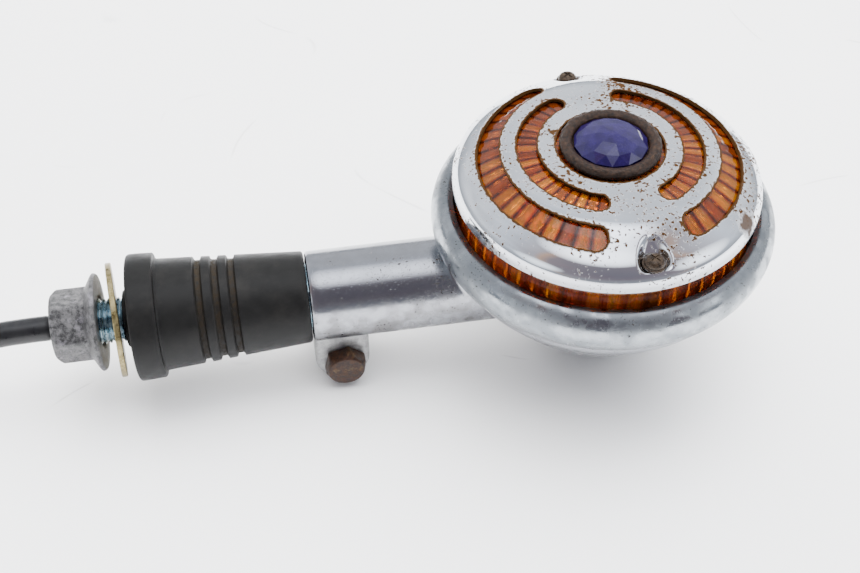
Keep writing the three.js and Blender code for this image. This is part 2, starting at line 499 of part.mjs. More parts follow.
add('housing', housing(), zincCast);
add('rim_ring', rimRing(), chrome);
add('lens_gasket', gasket(), rubber);
add('lens', lens(), amber);
add('grille_cover', grilleCover(), chrome);
['front', 'rear'].forEach((side, i) => add(`lens_screw_${side}`, lensScrew(screwPlaces[i]), rustySteel));
add('jewel_bezel', jewelBezel(), rustySteel);
add('jewel', jewel(), blueGlass);
add('jewel_clip', ring(2.9, 6, 36.9, 37.5, SMALL_ROUND), zincSteel);
add('reflector', reflector(), chrome);
add('bulb_socket', bulbSocket(), yellowZinc);
add('contact_spring', contactSpring(), zincSteel);
add('contact_disc', ring(2.9, DISC_R, DISC_TOP_Z - DISC, DISC_TOP_Z, SMALL_ROUND), bakelite);
add('contact_button', turned([[0, -16.8], [2.6, -16.8], [2.6, -14.6], [2, -14.1], [0, -14]], 16), brass);
add('bulb_contact', bulbContact(), brass);
add('bulb_base', bulbBase(), brass);
add('bulb_filament', bulbFilament(), zincSteel);
add('bulb_glass', bulbGlass(), clearGlass);
add('clamp_bolt', clampBolt(), rustySteel);
add('clamp_nut', clampNut(), zincSteel);
add('stem_sleeve', tubeX(SLEEVE_BORE_R, SLEEVE_R, SLEEVE_FROM_X, SLEEVE_TO_X, STEM_ROUND), zincSteel);
add('stem_rubber_root', stemRoot(), rubber);
add('stem_rubber_ring', stemRing(), rubber);
add('stem_rubber_tip', stemTip(), rubber);
add('mount_stud', mountStud(), zincSteel);
add('flat_washer', flatWasher(), yellowZinc);
add('flange_nut', flangeNut(), zincSteel);
add('cable_in_arm', cableRun(FLEX_INNER_X + 0.8, -38), rubber);
add('cable_in_stem', cableRun(NUT_END_X, FLEX_INNER_X - 1.4), rubber);
add('feed_wire', cord(feedRoute, INNER_WIRE_R, 8, 14), bakelite);
add('earth_wire', cord(earthRoute, INNER_WIRE_R, 8, 12), rubber);
add('cable_free', cord(cableRoute, CABLE_R, 12, 22), rubber);
add('cable_coil', cableCoil(), rubber);
add('coil_tie', coilTie(), rubber);
['feed', 'earth'].forEach((side, i) => {
  add(`${side}_lead`, cord(wireCurl(WIRE_RINGS[i]), WIRE_R, 8, 20), i ? rubber : bakelite);
  add(`${side}_sleeve`, wireEnd(WIRE_RINGS[i], BULLET_SLEEVE_R, GAP, BULLET_SLEEVE), rubber);
  add(`${side}_bullet`, wireEnd(WIRE_RINGS[i], BULLET_R, BULLET_SLEEVE + 2 * GAP, BULLET_LENGTH), brass);
});

export default assembly;
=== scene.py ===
import math

import bmesh
import bpy
import numpy as np
from mathutils import Matrix, Vector, noise
from mathutils.kdtree import KDTree
from mathutils.geometry import delaunay_2d_cdt


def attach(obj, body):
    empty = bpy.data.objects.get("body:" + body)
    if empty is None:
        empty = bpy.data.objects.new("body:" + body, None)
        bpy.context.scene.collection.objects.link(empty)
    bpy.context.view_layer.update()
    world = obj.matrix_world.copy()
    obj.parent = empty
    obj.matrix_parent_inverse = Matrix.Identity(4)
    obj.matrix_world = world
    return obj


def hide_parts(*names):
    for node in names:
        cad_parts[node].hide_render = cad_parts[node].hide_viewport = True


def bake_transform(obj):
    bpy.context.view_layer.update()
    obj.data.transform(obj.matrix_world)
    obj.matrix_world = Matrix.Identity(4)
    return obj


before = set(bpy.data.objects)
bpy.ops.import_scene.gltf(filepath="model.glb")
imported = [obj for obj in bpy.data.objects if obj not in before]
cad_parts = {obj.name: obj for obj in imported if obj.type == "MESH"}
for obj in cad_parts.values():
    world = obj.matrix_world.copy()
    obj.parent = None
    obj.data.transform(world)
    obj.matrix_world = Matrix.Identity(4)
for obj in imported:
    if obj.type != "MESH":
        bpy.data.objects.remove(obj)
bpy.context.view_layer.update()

SHIFT = Vector((49.7, 0, 24))        # from the lens and arm axes to the model's origin, mm
TABLE_Z = -24                        # the table, seen from those axes
MM = 1000                            # in a metre
GROOVES = (-97.2, -101.5, -105.8)    # the stem's three grooves, along X
MIDDLE = GROOVES[1]                  # where its two pieces meet
EDGE_REACH = 6.0                     # how far in from the cover's edges rust may show
STAIN_AT = (28.3, -25.2, 33.8)       # the rust blot on the cover's wall
HEX = 99                             # a section radius that stands for a hexagon's side
TAU = 2 * math.pi


def place(x, y, z):
    """A point given from the lens and arm axes in mm, in the model's metres."""
    return (Vector((x, y, z)) + SHIFT) / MM


def polar(radius, angle):
    """The x and y of a point at a radius and an angle in radians."""
    return radius * math.cos(angle), radius * math.sin(angle)


# ---- Camera ----
camera = bpy.data.objects.new("camera", bpy.data.cameras.new("camera"))
bpy.context.collection.objects.link(camera)
camera.data.sensor_width = 36
camera.data.lens = 54.42
camera.data.clip_start = 0.01
view_axes = Matrix(((0.98594, -0.16709, 0.00129), (0.12094, 0.71892, 0.6845), (-0.1153, -0.67472, 0.72902)))
camera.matrix_world = Matrix.Translation((-0.03604, -0.2358, 0.27682)) @ view_axes.transposed().to_4x4()
bpy.context.scene.camera = camera


# ---- Lines and meshes ----
def rounded(points, step):
    """A smooth line through points, with a point every step or less."""
    pts = [Vector(p) for p in points]
    pts = [2 * pts[0] - pts[1]] + pts + [2 * pts[-1] - pts[-2]]
    line = []
    for a, b, c, d in zip(pts, pts[1:], pts[2:], pts[3:]):
        t1 = (b - a).length ** 0.5
        t2 = t1 + (c - b).length ** 0.5
        t3 = t2 + (d - c).length ** 0.5
        count = max(1, math.ceil((c - b).length / step))
        for i in range(count):
            t = t1 + (t2 - t1) * i / count
            ab, bc, cd = a.lerp(b, t / t1), b.lerp(c, (t - t1) / (t2 - t1)), c.lerp(d, (t - t2) / (t3 - t2))
            abc, bcd = ab.lerp(bc, t / t2), bc.lerp(cd, (t - t1) / (t3 - t1))
            line.append(abc.lerp(bcd, (t - t1) / (t2 - t1)))
    return line + [pts[-2]]


def mesh_object(name, verts, faces, paint, body, node=(), sharp=35, slot=None, merge=True):
    """A mesh given in mm from the lens and arm axes, shaded smooth except across sharp edges."""
    mesh = bpy.data.meshes.new(name)
    mesh.from_pydata([place(*v) for v in verts], [], faces)
    if merge:
        work = bmesh.new()
        work.from_mesh(mesh)
        bmesh.ops.remove_doubles(work, verts=work.verts, dist=1e-7)
        bmesh.ops.dissolve_degenerate(work, edges=work.edges, dist=1e-7)
        bmesh.ops.recalc_face_normals(work, faces=work.faces)
        work.to_mesh(mesh)
        work.free()
    mesh.validate()
    mesh.shade_smooth()
    mesh.set_sharp_from_angle(angle=math.radians(sharp))
    mesh.materials.append(paint)
    obj = bpy.data.objects.new(name, mesh)
    bpy.context.collection.objects.link(obj)
    if body:
        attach(obj, body)
    if node:
        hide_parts(*([node] if isinstance(node, str) else node))
    return obj


def grid_faces(rows, around, closed_rows=False):
    """Quads between rows of points that each go all the way round."""
    faces = []
    for i in range(rows if closed_rows else rows - 1):
        a, b = i * around, ((i + 1) % rows) * around
        for j in range(around):
            k = (j + 1) % around
            faces.append((a + j, a + k, b + k, b + j))
    return faces


def turned(section, around=96, wave=None):
    """A closed section of (radius, height) turned about Z. wave(angle, r, z, row) may move each point."""
    verts = []
    for row, (r, z) in enumerate(section):
        for j in range(around):
            angle = TAU * j / around
            rr, zz = wave(angle, r, z, row) if wave else (r, z)
            verts.append((*polar(rr, angle), zz))
    return verts, grid_faces(len(section), around, True)


def turned_x(section, around=72, wave=None):
    """A closed section of (radius, x) turned about X."""
    verts, faces = turned(section, around, wave)
    return [(z, x, y) for x, y, z in verts], faces


def offset(line, distance):
    """A line of (radius, height) moved square to itself."""
    out = []
    for i, (r, z) in enumerate(line):
        a, b = line[max(i - 1, 0)], line[min(i + 1, len(line) - 1)]
        d = Vector((b[0] - a[0], b[1] - a[1])).normalized()
        out.append((r - d.y * distance, z + d.x * distance))
    return out


def xy(points):
    """The first two numbers of each point."""
    return [(p[0], p[1]) for p in points]


def tube(path, radius, around):
    """A round tube along a path, closed at both ends with rounded edges."""
    pts = [Vector(p) for p in path]
    tangents = [(pts[min(i + 1, len(pts) - 1)] - pts[max(i - 1, 0)]).normalized() for i in range(len(pts))]
    side = tangents[0].orthogonal().normalized()
    stations = [(0, 0.8), *((i, 1.0) for i in range(1, len(pts) - 1)), (len(pts) - 1, 0.8)]
    verts = []
    for i, size in stations:
        t = tangents[i]
        side = (side - t * side.dot(t)).normalized()
        up = t.cross(side)
        r = radius * size
        for j in range(around):
            angle = TAU * j / around
            verts.append(pts[i] + (side * math.cos(angle) + up * math.sin(angle)) * r)
    faces = grid_faces(len(stations), around)
    last = (len(stations) - 1) * around
    faces.append(tuple(reversed(range(around))))
    faces.append(tuple(last + j for j in range(around)))
    return verts, faces


def moved(mesh, matrix):
    """A mesh put through a matrix."""
    verts, faces = mesh
    return [matrix @ Vector(v) for v in verts], faces


def joined(*meshes):
    """Several meshes as one."""
    verts, faces = [], []
    for v, f in meshes:
        base = len(verts)
        verts += list(v)
        faces += [tuple(base + k for k in face) for face in f]
    return verts, faces


# ---- Materials ----
class Nodes:
    """Short calls for the nodes of one tree."""

    def __init__(self, tree, coords):
        self.tree = tree
        self.coords = tree.nodes.new("ShaderNodeTexCoord").outputs[coords]

    def node(self, kind, inputs=(), **settings):
        """A node with its settings, and its inputs linked or set."""
        made = self.tree.nodes.new(kind)
        for key, value in settings.items():
            setattr(made, key, value)
        for key, value in dict(inputs).items():
            if isinstance(value, bpy.types.NodeSocket):
                self.tree.links.new(value, made.inputs[key])
            else:
                made.inputs[key].default_value = value
        return made

    def noise(self, size, detail=3.0, roughness=0.55):
        """Cloudy noise with features of the given size in mm."""
        mapped = self.node("ShaderNodeMapping", {"Vector": self.coords, "Scale": [MM / size] * 3})
        made = self.node("ShaderNodeTexNoise", {"Vector": mapped.outputs[0], "Scale": 1.0, "Detail": detail,
                                                "Roughness": roughness})
        return made.outputs["Fac"]

    def ramp(self, value, *stops):
        """A ramp from numbers or colours at positions."""
        made = self.node("ShaderNodeValToRGB", {"Fac": value})
        ramp = made.color_ramp
        while len(ramp.elements) < len(stops):
            ramp.elements.new(0.5)
        for element, (position, colour) in zip(ramp.elements, stops):
            element.position = position
            element.color = (*colour, 1) if isinstance(colour, tuple) else (colour, colour, colour, 1)
        return made.outputs["Color"]

    def mix(self, factor, a, b):
        """A colour between two, at a factor."""
        a, b = ((*c, 1) if isinstance(c, tuple) else c for c in (a, b))
        return self.node("ShaderNodeMix", {0: factor, 6: a, 7: b}, data_type="RGBA").outputs[2]

    def maths(self, operation, a, b=0.0, clamp=False):
        made = self.node("ShaderNodeMath", {0: a, 1: b}, operation=operation, use_clamp=clamp)
        return made.outputs[0]

    def plus(self, a, b, clamp=False):
        return self.maths("ADD", a, b, clamp)

    def times(self, a, b):
        return self.maths("MULTIPLY", a, b)

    def attribute(self, name):
        return self.node("ShaderNodeAttribute", attribute_name=name).outputs["Fac"]

    def axis(self, which):
        """The point's place along an axis, in metres."""
        return self.node("ShaderNodeSeparateXYZ", {"Vector": self.coords}).outputs[which]


class Paint(Nodes):
    """A material being made on its Principled shader."""

    def __init__(self, name, **sockets):
        self.material = bpy.data.materials.new(name)
        self.material.use_nodes = True
        super().__init__(self.material.node_tree, "Object")
        self.shader = self.tree.nodes["Principled BSDF"]
        for key, value in sockets.items():
            self.shader.inputs[key.replace("_", " ")].default_value = value

    def bump(self, height, depth):
        """Relief of a depth in mm, on top of any before it."""
        made = self.node("ShaderNodeBump", {"Height": height, "Distance": depth / MM, "Strength": 1.0})
        if self.shader.inputs["Normal"].is_linked:
            before = self.shader.inputs["Normal"].links[0].from_socket
            self.tree.links.new(before, made.inputs["Normal"])
        self.tree.links.new(made.outputs[0], self.shader.inputs["Normal"])
        return self

    def set(self, **sockets):
        """Links nodes to the shader's sockets."""
        for key, value in sockets.items():
            self.tree.links.new(value, self.shader.inputs[key.replace("_", " ")])
        return self


def metal(name, colour, rough, rust=0.0, speck=0.6, patch=9.0, haze=0.3,
          haze_colour=(0.52, 0.52, 0.55), pits=0.0, worn_and_shaded_edges=False, low_haze_and_shade=None,
          stain=(0.36, 0.19, 0.07), deep=(0.09, 0.035, 0.018)):
    """A polished metal with rust specks in patches, a dull haze, pits, and rust along worn edges. It can also
    paint shade: a haze made heavier and darker low down, painted shade on the underside, and a darker grey
    band along a cover's lowest edge, painted shade where it meets the lens.
    """
    p = Paint(name, Specular_IOR_Level=0.1)
    cloud = p.noise(patch, 2)
    spots = p.times(p.plus(p.noise(speck, 2, 0.5), p.times(cloud, 0.6)), 0.75)
    if worn_and_shaded_edges:
        inward = p.maths("DIVIDE", p.attribute("edge"), EDGE_REACH)
        spots = p.plus(spots, p.ramp(inward, (0.1, 0.07), (0.7, 0.0)))
    edge = 0.80 - 0.06 * rust
    mask = p.ramp(spots, (edge, 0.0), (edge + 0.045, 1.0))
    halo = p.ramp(spots, (edge - 0.025, 0.0), (edge + 0.02, 0.6))
    if worn_and_shaded_edges:
        away = p.node("ShaderNodeVectorMath", {0: p.coords, 1: place(*STAIN_AT)}, operation="DISTANCE")
        blot = p.plus(p.times(away.outputs["Value"], 100.0), p.times(p.noise(2.2, 3), 0.5))
        blot = p.ramp(blot, (0.44, 0.96), (0.66, 0.0))
        rim = p.plus(p.attribute("edge"), p.times(p.noise(1.4, 3), 1.1))
        mask = p.maths("MAXIMUM", p.maths("MAXIMUM", mask, blot),
                       p.ramp(p.times(rim, 0.5), (0.50, 1.0), (0.62, 0.0)))
    film = p.plus(cloud, p.times(p.noise(2.6, 3), 0.35))
    dull = p.ramp(p.times(film, 0.75), (0.56 - haze * 0.16, 0.0), (0.74 - haze * 0.16, 1.0))
    # Painted shade: the haze, darker than the clean metal, is full low down and faint higher up, so the
    # underside is painted darker; the haze's added roughness is real dullness.
    if low_haze_and_shade:
        full, faint = low_haze_and_shade
        dull = p.times(dull, p.ramp(p.times(p.axis(2), 10.0), (full / 100, 1.0), (faint / 100, 0.15)))
    hazed = tuple(c + (h - c) * min(haze, 1.0) * 0.8 for c, h in zip(colour, haze_colour))
    clean = p.mix(dull, colour, hazed)
    if worn_and_shaded_edges:
        # Painted shade: a darker grey band along the cover's lowest edge, where it meets the lens.
        lip_shade = p.ramp(p.times(p.axis(2), 10.0), (0.545, 0.62), (0.562, 0.0))
        clean = p.mix(lip_shade, clean, (0.22, 0.22, 0.23))
    p.set(Base_Color=p.mix(mask, p.mix(halo, clean, stain), p.mix(p.noise(0.3, 2), deep, stain)),
          Metallic=p.maths("SUBTRACT", 1.0, p.maths("MAXIMUM", mask, halo), True),
          Roughness=p.plus(p.ramp(dull, (0.0, rough), (1.0, min(rough + 0.04 + haze * 0.3, 0.8))),
                           p.times(mask, 0.6), True))
    p.bump(p.noise(4.0, 2), 0.01)
    if pits:
        p.bump(p.ramp(p.noise(0.55, 2), (0.30, 0.0), (0.40, 1.0)), 0.05 * pits)
    return p.bump(p.times(mask, p.noise(0.3, 2)), 0.10).material


def weathered(name, dark, light, rough, size, relief, dust, dust_colour=(0.6, 0.58, 0.64), **sockets):
    """A dull metal mottled between two colours, with a powdery bloom on it."""
    p = Paint(name, **sockets)
    cloud, fine = p.noise(size, 4, 0.65), p.noise(size / 5, 3, 0.6)
    tone = p.ramp(p.plus(p.times(cloud, 0.7), p.times(fine, 0.3)), (0.40, dark), (0.60, light))
    bloom = p.ramp(p.noise(size * 2.2, 4, 0.7), (0.56, 0.0), (0.70, dust))
    p.set(Base_Color=p.mix(bloom, tone, dust_colour),
          Roughness=p.ramp(cloud, (0.35, rough - 0.08), (0.65, rough + 0.1)))
    return p.bump(cloud, relief).bump(fine, relief * 0.6).material


def plain(name, low, high, rough, depth=0.03, **sockets):
    """A non-metal whose colour and gloss vary softly."""
    p = Paint(name, **sockets)
    cloud = p.noise(2.5, 4)
    p.set(Base_Color=p.mix(p.ramp(cloud, (0.3, 0.0), (0.7, 1.0)), low, high),
          Roughness=p.ramp(cloud, (0.3, max(rough - 0.07, 0.02)), (0.7, rough + 0.07)))
    return p.bump(p.noise(0.25, 2), depth).material


def stem_paint():
    """Satin black rubber with brown dust in its grooves."""
    p = Paint("stem_rubber_paint", Specular_IOR_Level=0.16)
    cloud = p.noise(3.0, 4)
    dust = 0.0
    for groove in reversed(GROOVES):
        away = p.maths("ABSOLUTE", p.maths("SUBTRACT", p.axis(0), (groove + SHIFT.x) / MM))
        dust = p.maths("MAXIMUM", dust, p.ramp(p.times(away, 100.0), (0.05, 1.0), (0.105, 0.0)))
    dust = p.times(dust, p.ramp(p.noise(1.2, 3), (0.38, 0.15), (0.62, 0.8)))
    powder = p.ramp(p.noise(7.0, 4, 0.65), (0.50, 0.0), (0.72, 0.4))
    black = p.mix(cloud, (0.0042, 0.0042, 0.0042), (0.0100, 0.0098, 0.0096))
    p.set(Base_Color=p.mix(dust, p.mix(powder, black, (0.017, 0.0155, 0.014)), (0.018, 0.013, 0.0075)),
          Roughness=p.plus(p.ramp(cloud, (0.3, 0.38), (0.7, 0.52)), p.times(dust, 0.4), True))
    return p.bump(p.noise(0.3, 2), 0.02).material


def lens_paint():
    """Clear amber with light and shade painted in: small bright and dark panes, one to each flute and step,
    dark along the flutes' edges, brighter towards the front and dimmer on the side band, as the light sent out
    through the flutes and steps would look.
    """
    p = Paint("amber_paint", Transmission_Weight=0.85, IOR=1.49, Specular_IOR_Level=0.15)
    own = p.node("ShaderNodeMapping", {"Vector": p.coords, "Location": (-SHIFT.x / MM, 0, 0)}).outputs[0]
    turn = p.node("ShaderNodeTexGradient", {"Vector": own}, gradient_type="RADIAL").outputs["Fac"]
    split = p.node("ShaderNodeSeparateXYZ", {"Vector": own})
    flat = p.node("ShaderNodeCombineXYZ", {"X": split.outputs[0], "Y": split.outputs[1]}).outputs[0]
    radius = p.node("ShaderNodeVectorMath", {"Vector": flat}, operation="LENGTH").outputs["Value"]
    flutes, steps = p.times(turn, 48.0), p.times(radius, MM / 4.6)
    pane = p.node("ShaderNodeCombineXYZ", {"X": p.maths("FLOOR", flutes), "Y": p.maths("FLOOR", steps)})
    chance = p.node("ShaderNodeTexWhiteNoise", {"Vector": pane.outputs[0]}, noise_dimensions="3D")
    # Painted shade: each pane darkens towards its flute's edges, less so on the side band below the cover.
    seam = p.ramp(p.maths("FRACT", flutes), (0.0, 0.0), (0.24, 1.0), (0.74, 1.0), (1.0, 0.0))
    height = p.times(split.outputs[2], 10.0)
    seam = p.maths("MAXIMUM", seam, p.ramp(height, (0.535, 0.6), (0.55, 0.0)))
    # Painted light: the panes are brighter towards the front; the side band is painted dimmer.
    front = p.ramp(p.plus(p.times(split.outputs[1], -12.0), 0.45), (0.15, 0.42), (0.75, 1.0))
    skirt_shade = p.ramp(height, (0.535, 0.8), (0.55, 1.0))
    # Painted light: which panes glint bright is random.
    glow = p.times(p.times(p.ramp(chance.outputs["Value"], (0.0, 0.42), (1.0, 1.0)), seam),
                   p.times(front, skirt_shade))
    colour = p.ramp(glow, (0.05, (0.055, 0.005, 0.0002)), (0.45, (0.42, 0.072, 0.0006)),
                    (0.85, (0.86, 0.30, 0.002)))
    p.set(Base_Color=colour, Roughness=p.ramp(p.noise(3.0, 3), (0.3, 0.05), (0.7, 0.13)))
    return p.bump(p.noise(0.9, 2), 0.012).material


# Rust along the cover's edges, and painted shade along its lowest edge.
chrome_cover = metal("chrome_cover", (0.80, 0.83, 0.88), 0.035, rust=1.5, speck=0.9, patch=16.0,
                     haze=0.3, worn_and_shaded_edges=True, stain=(0.060, 0.026, 0.006), deep=(0.014, 0.006, 0.002))
OLD_RUST = {"stain": (0.03, 0.022, 0.018), "deep": (0.012, 0.010, 0.008)}
chrome_rim = metal("chrome_rim", (0.36, 0.385, 0.41), 0.12, rust=0.5, patch=7.0, haze=1.0,
                   haze_colour=(0.215, 0.235, 0.255), pits=0.35, **OLD_RUST)
# Bowl and arm: haze heavier low down, painted shade on their undersides.
chrome_bowl = metal("chrome_bowl", (0.37, 0.38, 0.41), 0.15, rust=0.6, patch=6.0, haze=1.0,
                    haze_colour=(0.145, 0.138, 0.135), pits=0.25, low_haze_and_shade=(20.0, 34.0), **OLD_RUST)
cast_grey = weathered("cast_grey", (0.26, 0.26, 0.26), (0.46, 0.46, 0.46), 0.42, 2.2, 0.05, 0.3, Metallic=0.8)
bright_inside = metal("bright_inside", (0.86, 0.86, 0.84), 0.16, haze=0.2)
rusty_bolt = weathered("rusty_bolt", (0.010, 0.003, 0.002), (0.055, 0.022, 0.009), 0.45, 1.3, 0.14, 0.35,
                       (0.24, 0.15, 0.055), Metallic=0.45)
brown_screw = weathered("brown_screw", (0.010, 0.006, 0.004), (0.055, 0.036, 0.022), 0.34, 1.0, 0.05, 0.2,
                        (0.14, 0.11, 0.08), Metallic=0.5)
dark_bezel = weathered("dark_bezel", (0.006, 0.0035, 0.0025), (0.028, 0.014, 0.008), 0.42, 0.8, 0.10, 0.25,
                       (0.10, 0.052, 0.022), Metallic=0.35)
zinc_nut = weathered("zinc_nut", (0.035, 0.035, 0.036), (0.15, 0.147, 0.15), 0.45, 1.6, 0.12, 0.5,
                     (0.30, 0.285, 0.32), Metallic=0.5)
zinc_thread = weathered("zinc_thread", (0.16, 0.27, 0.33), (0.52, 0.64, 0.70), 0.28, 2.0, 0.02, 0.2,
                        Metallic=1.0)
yellow_washer = weathered("yellow_washer", (0.14, 0.11, 0.045), (0.36, 0.30, 0.15), 0.34, 1.6, 0.04, 0.3,
                          (0.24, 0.23, 0.20), Metallic=0.85)
brass = weathered("brass_metal", (0.50, 0.34, 0.12), (0.80, 0.60, 0.28), 0.28, 2.0, 0.02, 0.1, Metallic=1.0)
rubber = stem_paint()
seal = plain("seal_rubber_paint", (0.01, 0.01, 0.01), (0.025, 0.025, 0.025), 0.6, Specular_IOR_Level=0.3)
sheath = plain("sheath_paint", (0.006, 0.006, 0.007), (0.013, 0.013, 0.014), 0.33, depth=0.012,
               Specular_IOR_Level=0.35)
bakelite = plain("bakelite_paint", (0.06, 0.028, 0.015), (0.12, 0.06, 0.03), 0.45)
brown_wire = plain("brown_wire_paint", (0.07, 0.024, 0.008), (0.12, 0.045, 0.016), 0.4)
green_wire = plain("green_wire_paint", (0.012, 0.08, 0.022), (0.026, 0.14, 0.04), 0.4)
sleeve_paint = plain("sleeve_paint", (0.50, 0.50, 0.48), (0.66, 0.66, 0.64), 0.25,
                     Transmission_Weight=0.45)
amber = lens_paint()
blue = plain("blue_paint", (0.005, 0.0016, 0.026), (0.010, 0.004, 0.052), 0.06, depth=0.003,
             Transmission_Weight=0.15, IOR=1.5, Specular_IOR_Level=0.55)
glass = plain("glass_paint", (0.92, 0.93, 0.92), (0.97, 0.97, 0.96), 0.05, depth=0.004,
              Transmission_Weight=0.97, IOR=1.45)

for node, paint in {
    "bulb_socket": bright_inside, "contact_disc": bakelite, "contact_button": brass,
    "bulb_contact": brass, "bulb_base": brass, "bulb_filament": zinc_thread, "cable_in_arm": sheath,
    "cable_in_stem": sheath, "feed_wire": brown_wire, "earth_wire": green_wire, "stem_sleeve": zinc_thread,
    "jewel_clip": zinc_thread,
}.items():
    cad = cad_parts[node]
    cad = cad if isinstance(cad, bpy.types.Object) else bpy.data.objects[node]
    for spot in range(len(cad.material_slots)):
        cad.material_slots[spot].material = paint
    if not cad.material_slots:
        cad.data.materials.append(paint)


# ---- Cable, leads and what is on them ----
CABLE_R, WIRE_R = 3.3, 1.3
REST_Z = TABLE_Z + 0.9 + CABLE_R
COIL = Vector((-228, 40, 0))          # its middle
LEAD = 42                            # how long a lead is


def on_coil(radius, degrees, z):
    """A point round the coil's middle."""
    return COIL + Vector((*polar(radius, math.radians(degrees)), z))


route = [(-144.3, 0, 0), (-147, 0, 0), (-150, 0, 0), (-153, 0, -0.1), (-156, 0, -0.2), (-159.5, 0, -0.6),
         (-163, 0, -1.2), (-167, 0, -2.3), (-171, 0, -3.9), (-175.5, 0, -6.1), (-180, 0, -8.6),
         (-184, 0, -10.9), (-188, 0, -13.1), (-192, 0, -15.4), (-196, 0, -17.4), (-200.5, 0, -19.1),
         (-204.3, 0, REST_Z), (-212, 0, REST_Z), (-220, 0, REST_Z)]
COIL_TURNS = 500 / 360
for k in range(25):
    turn = COIL_TURNS * k / 24
    veer = max(0.0, (k - 19) / 5) ** 2 * 3.4
    route.append(tuple(on_coil(40 - 6.8 * turn - veer, -90 - 360 * turn, REST_Z)))
sheath_line = rounded(route, 1.6)
sheath_cord = mesh_object("cable_sheath_cord", *tube(sheath_line, CABLE_R, 28), sheath, "mount",
                          ("cable_free", "cable_coil"), 50, "cable_sheath")


def band(centre, degrees):
    """A flat strap round the coil's two turns."""
    inner, outer, low, high = 29.3, 43.7, TABLE_Z + 0.3, TABLE_Z + 7.8
    corner, rows, verts = 2.4, [], []
    for cx, cz, start in ((outer - corner, high - corner, 0), (inner + corner, high - corner, 90),
                          (inner + corner, low + corner, 180), (outer - corner, low + corner, 270)):
        for step in range(7):
            a = math.radians(start + step * 15)
            rows.append((cx, cz, math.cos(a), math.sin(a)))
    turn = Matrix.Rotation(math.radians(degrees), 3, "Z")
    for side, grow in ((-2.5, 0.0), (2.5, 0.0), (2.5, 0.55), (-2.5, 0.55)):
        for cx, cz, ca, sa in rows:
            r, z = cx + (corner + grow) * ca, cz + (corner + grow) * sa
            verts.append(centre + turn @ Vector((r, side, 0)) + Vector((0, 0, z)))
    return verts, grid_faces(4, len(rows), True)


tie = mesh_object("cable_tie", *band(COIL, 205), seal, "mount", "coil_tie", 40, "seal_rubber")


def lead(name, paint, start_r, end_r, slot):
    """A wire that curls on inside the coil, with its sleeve and bullet."""
    sweep = math.degrees(LEAD / ((start_r + end_r) / 2))
    line = [on_coil(start_r + (end_r - start_r) * k / 24, 130 - sweep * k / 24, TABLE_Z + 2.7)
            for k in range(25)]
    smooth = rounded(line, 0.8)
    wire = mesh_object(f"{name}_lead_wire", *tube(smooth, WIRE_R, 16), paint, "mount", f"{name}_lead", 50,
                       slot)
    along = (line[-1] - line[-2]).normalized()
    aim = Matrix.Translation(line[-1]) @ along.to_track_quat("X", "Z").to_matrix().to_4x4()
    cover = turned_x([(1.5, 0.3), (2.3, 0.3), (2.6, 0.7), (2.6, 3.5), (2.45, 4.2), (2.6, 4.9),
                      (2.6, 10.9), (2.3, 11.3), (1.5, 11.3)], 40)
    pin = turned_x([(0.0, 11.6), (1.5, 11.6), (2.0, 11.9), (2.0, 16.2), (1.6, 16.7), (1.6, 17.2),
                    (2.0, 17.7), (1.9, 18.6), (1.3, 19.4), (0.0, 19.6)], 40)
    cover = mesh_object(f"{name}_sleeve_tube", *moved(cover, aim), sleeve_paint, "mount",
                        f"{name}_sleeve", 40, "clear_sleeve")
    pin = mesh_object(f"{name}_bullet_pin", *moved(pin, aim), brass, "mount", f"{name}_bullet", 40,
                      "brass")


lead("feed", brown_wire, 27.4, 18.0, "wire_brown")
lead("earth", green_wire, 23.2, 8.6, "wire_green")

# ---- Bowl, arm and clamp ----
bowl_line = xy(rounded([(9.5, TABLE_Z), (12, -22.6), (17.6, -17.4), (23.6, -11.6), (29, -5.7),
                        (33.6, 0), (37, 4.3), (39.6, 8), (40.4, 10.6)], 0.8))


def bowl_radius(z):
    """The bowl's outer radius at a height."""
    return float(np.interp(z, [p[1] for p in bowl_line], [p[0] for p in bowl_line]))


def bowl():
    """The lamp's round body, open at the top, its wall 2.2 mm thick."""
    inner = [p for p in offset(bowl_line, 2.2) if p[1] < 7.2 and p[0] > 9.5]
    section = [(0, TABLE_Z), (6, TABLE_Z), *bowl_line, (40.4, 10.9), (38.3, 10.9), (38.3, 17.5),
               (35.6, 17.5), (35.6, 7.2), *reversed(inner), (9.5, -21.8), (0, -21.8)]
    return turned(section, 160)


def screw_post(azimuth):
    """A post that a lens screw goes into, with its outer side kept inside the bowl's lip."""
    verts, faces = turned([(2.15, z) for z in (6, 17.4)] + [(4, z) for z in (17.4, 15, 12, 10, 8, 6)], 32)
    a = math.radians(azimuth)
    out = []
    for v in verts:
        x, y = polar(SCREW_RING, a)
        p = Vector((v[0] + x, v[1] + y, 0))
        reach = min(37.6, bowl_radius(v[2]) - 0.9)
        if p.length > reach:
            p *= reach / p.length
        out.append((p.x, p.y, v[2]))
    return out, faces


